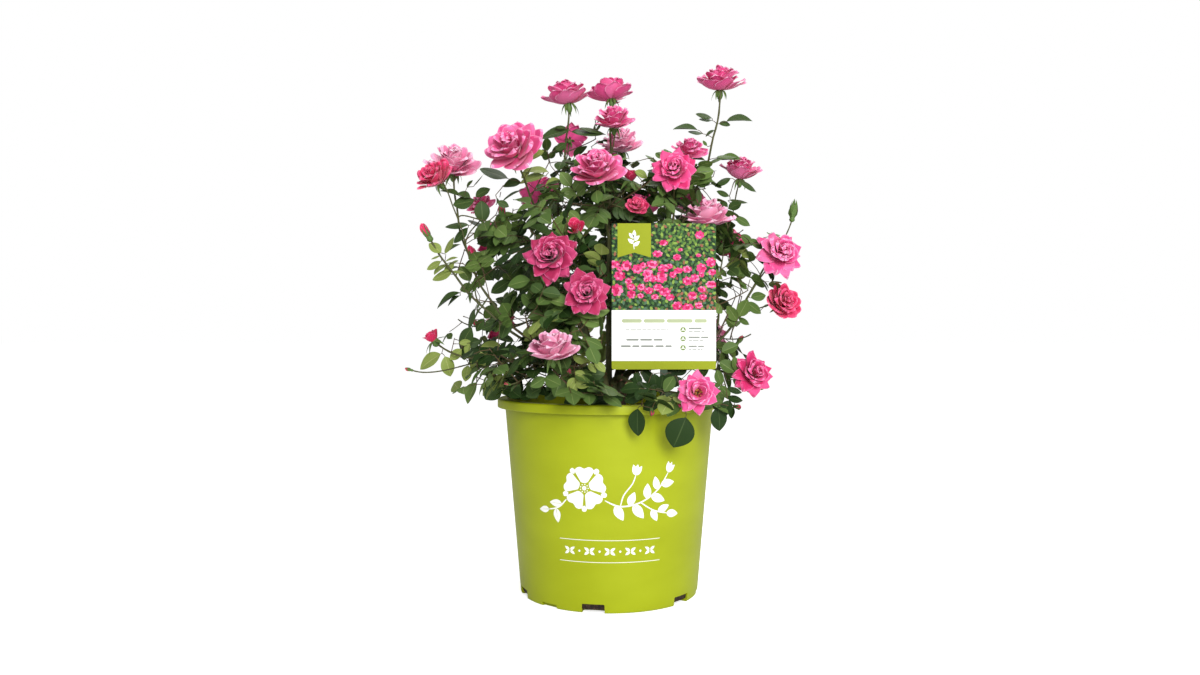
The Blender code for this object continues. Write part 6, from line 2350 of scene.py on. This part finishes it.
def picture_flower(x, z, size, rng):
    """The petals of a small double flower as (points, faces, tones), ring by ring."""
    flower, lean = Heap([], [], []), rng.uniform(0.6, 1.0)
    for ring, (petals, reach, breadth, weights) in enumerate(PICTURE_RINGS):
        first = rng.uniform(0, 360)
        for number in range(petals):
            way = on_circle(first + 360 * number / petals, size)
            proud = PROUD[0] + PROUD[1] * ring + rng.uniform(0, PROUD[2])
            outline = [way * complex(reach * along, breadth * side * 0.8) for along, side in FLAT_PETAL]
            pour(flower, [(CARD_LEFT + (x + p.real) * MM, CARD_FRONT - proud * MM,
                           CARD_TOP - (z - p.imag * lean) * MM) for p in outline],
                 [(5, 4, 3, 2, 1, 0)], rng.choices(range(len(PINKS)), weights))
    return flower


picture_rng = random.Random(71)
blossoms = Heap([], [], [])
for x, z, size in picture_spots(picture_rng):
    pour(blossoms, *picture_flower(x, z, size, picture_rng))
picture_mesh = mesh_from("picture blossoms", blossoms.points, blossoms.faces)
for pink in PINKS:
    picture_mesh.materials.append(card_finish("picture pink", pink))
picture_mesh.polygons.foreach_set("material_index", blossoms.marks)
add_piece("label_blossoms", trim_to_picture(picture_mesh), smooth=False)

# %% Hang the banner and set the stake
STAKE_WIDTH = 9 * MM
STAKE_THICKNESS = 2 * MM
STAKE_POINT = 9 * MM
STAKE_BURIED = 60 * MM
STAKE_BEHIND_LABEL = 80 * MM
STAKE_EDGE = 0.5 * MM
GROOVE_HALF = 1.6 * MM
GROOVE_FLOOR_HALF = 0.9 * MM
BANNER_LEAVES = (  # foot and turn
    (26.6 - 27j, 38), (26.4 - 24j, 142), (26.6 - 20.5j, 40), (26.9 - 18j, 135), (27 - 17j, 90))
stake_y = LABEL_CENTRE.y + LABEL_THICKNESS / 2 + CLEARANCE + STAKE_THICKNESS / 2
stake_top = LABEL_CENTRE.z - LABEL_HEIGHT / 2 + STAKE_BEHIND_LABEL
stake_foot = SOIL_LEVEL - STAKE_BURIED + CLEARANCE

banner, banner_mark = Heap([], [], []), Heap([], [], [])
banner_middle = (27, 27 - 20j, 27 - 35j)
strip(banner, (7, 7 - 20j, 7 - 41j), banner_middle)
strip(banner, banner_middle, (47, 47 - 20j, 47 - 41j))
print_on_card("label_banner", banner, 0.36, card_finish("banner green", (148, 158, 30)))
ribbon(banner_mark, [(27, -31), (26.2, -24), (27, -17)], 0.9)
for foot, turn in BANNER_LEAVES:
    ink_leaf(banner_mark, foot, turn, 9, 4.6, 0.3)
print_on_card("label_banner_mark", banner_mark, 0.4, card_white)


def stake_mesh():
    """A flat pointed strip with soft edges, and a shallow groove down its back that stiffens it."""
    half, soft = STAKE_WIDTH / 2, STAKE_WIDTH / 2 - STAKE_EDGE
    outline = ((-half, -0.35), (-soft, -0.5), (soft, -0.5), (half, -0.35), (half, 0.35), (soft, 0.5),
               (GROOVE_HALF, 0.5), (GROOVE_FLOOR_HALF, 0.2), (-GROOVE_FLOOR_HALF, 0.2), (-GROOVE_HALF, 0.5),
               (-soft, 0.5), (-half, 0.35))
    sections = ((stake_foot, 0.06), (stake_foot + STAKE_POINT, 1), (SOIL_LEVEL, 1),
                (stake_top - 1.5 * MM, 1), (stake_top, 0.72))
    return mesh_from("stake", *loft([
        [(LABEL_CENTRE.x + x * share, stake_y + y * STAKE_THICKNESS * max(share, 0.3), z) for x, y in outline]
        for z, share in sections]))


stake_plastic = pattern(finish("dark green plastic", (38, 62, 40), 0.42, 0.4), 380, 2, rough=(0.36, 0.52),
                        bump=(0.04, 0.6))
add_piece("stake", stake_mesh(), [stake_plastic], ["label_stake"], smooth=False)

# %% [markdown]
# ## Measure and finish
# How far the dressed model passes the solids' box on each side is printed, with the room given for it.

# %% Write the sizes and finish
ROOM_SHARE = 0.03
ROOM = 10 * MM

low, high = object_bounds()
for axis, name in enumerate("xyz"):
    under, over = (cad_low[axis] - low[axis]) / MM, (high[axis] - cad_high[axis]) / MM
    room = (ROOM_SHARE * (cad_high[axis] - cad_low[axis]) + ROOM) / MM
    print(f"{name}: {under:.1f} mm past the low side, {over:.1f} mm past the high side, {room:.1f} allowed")
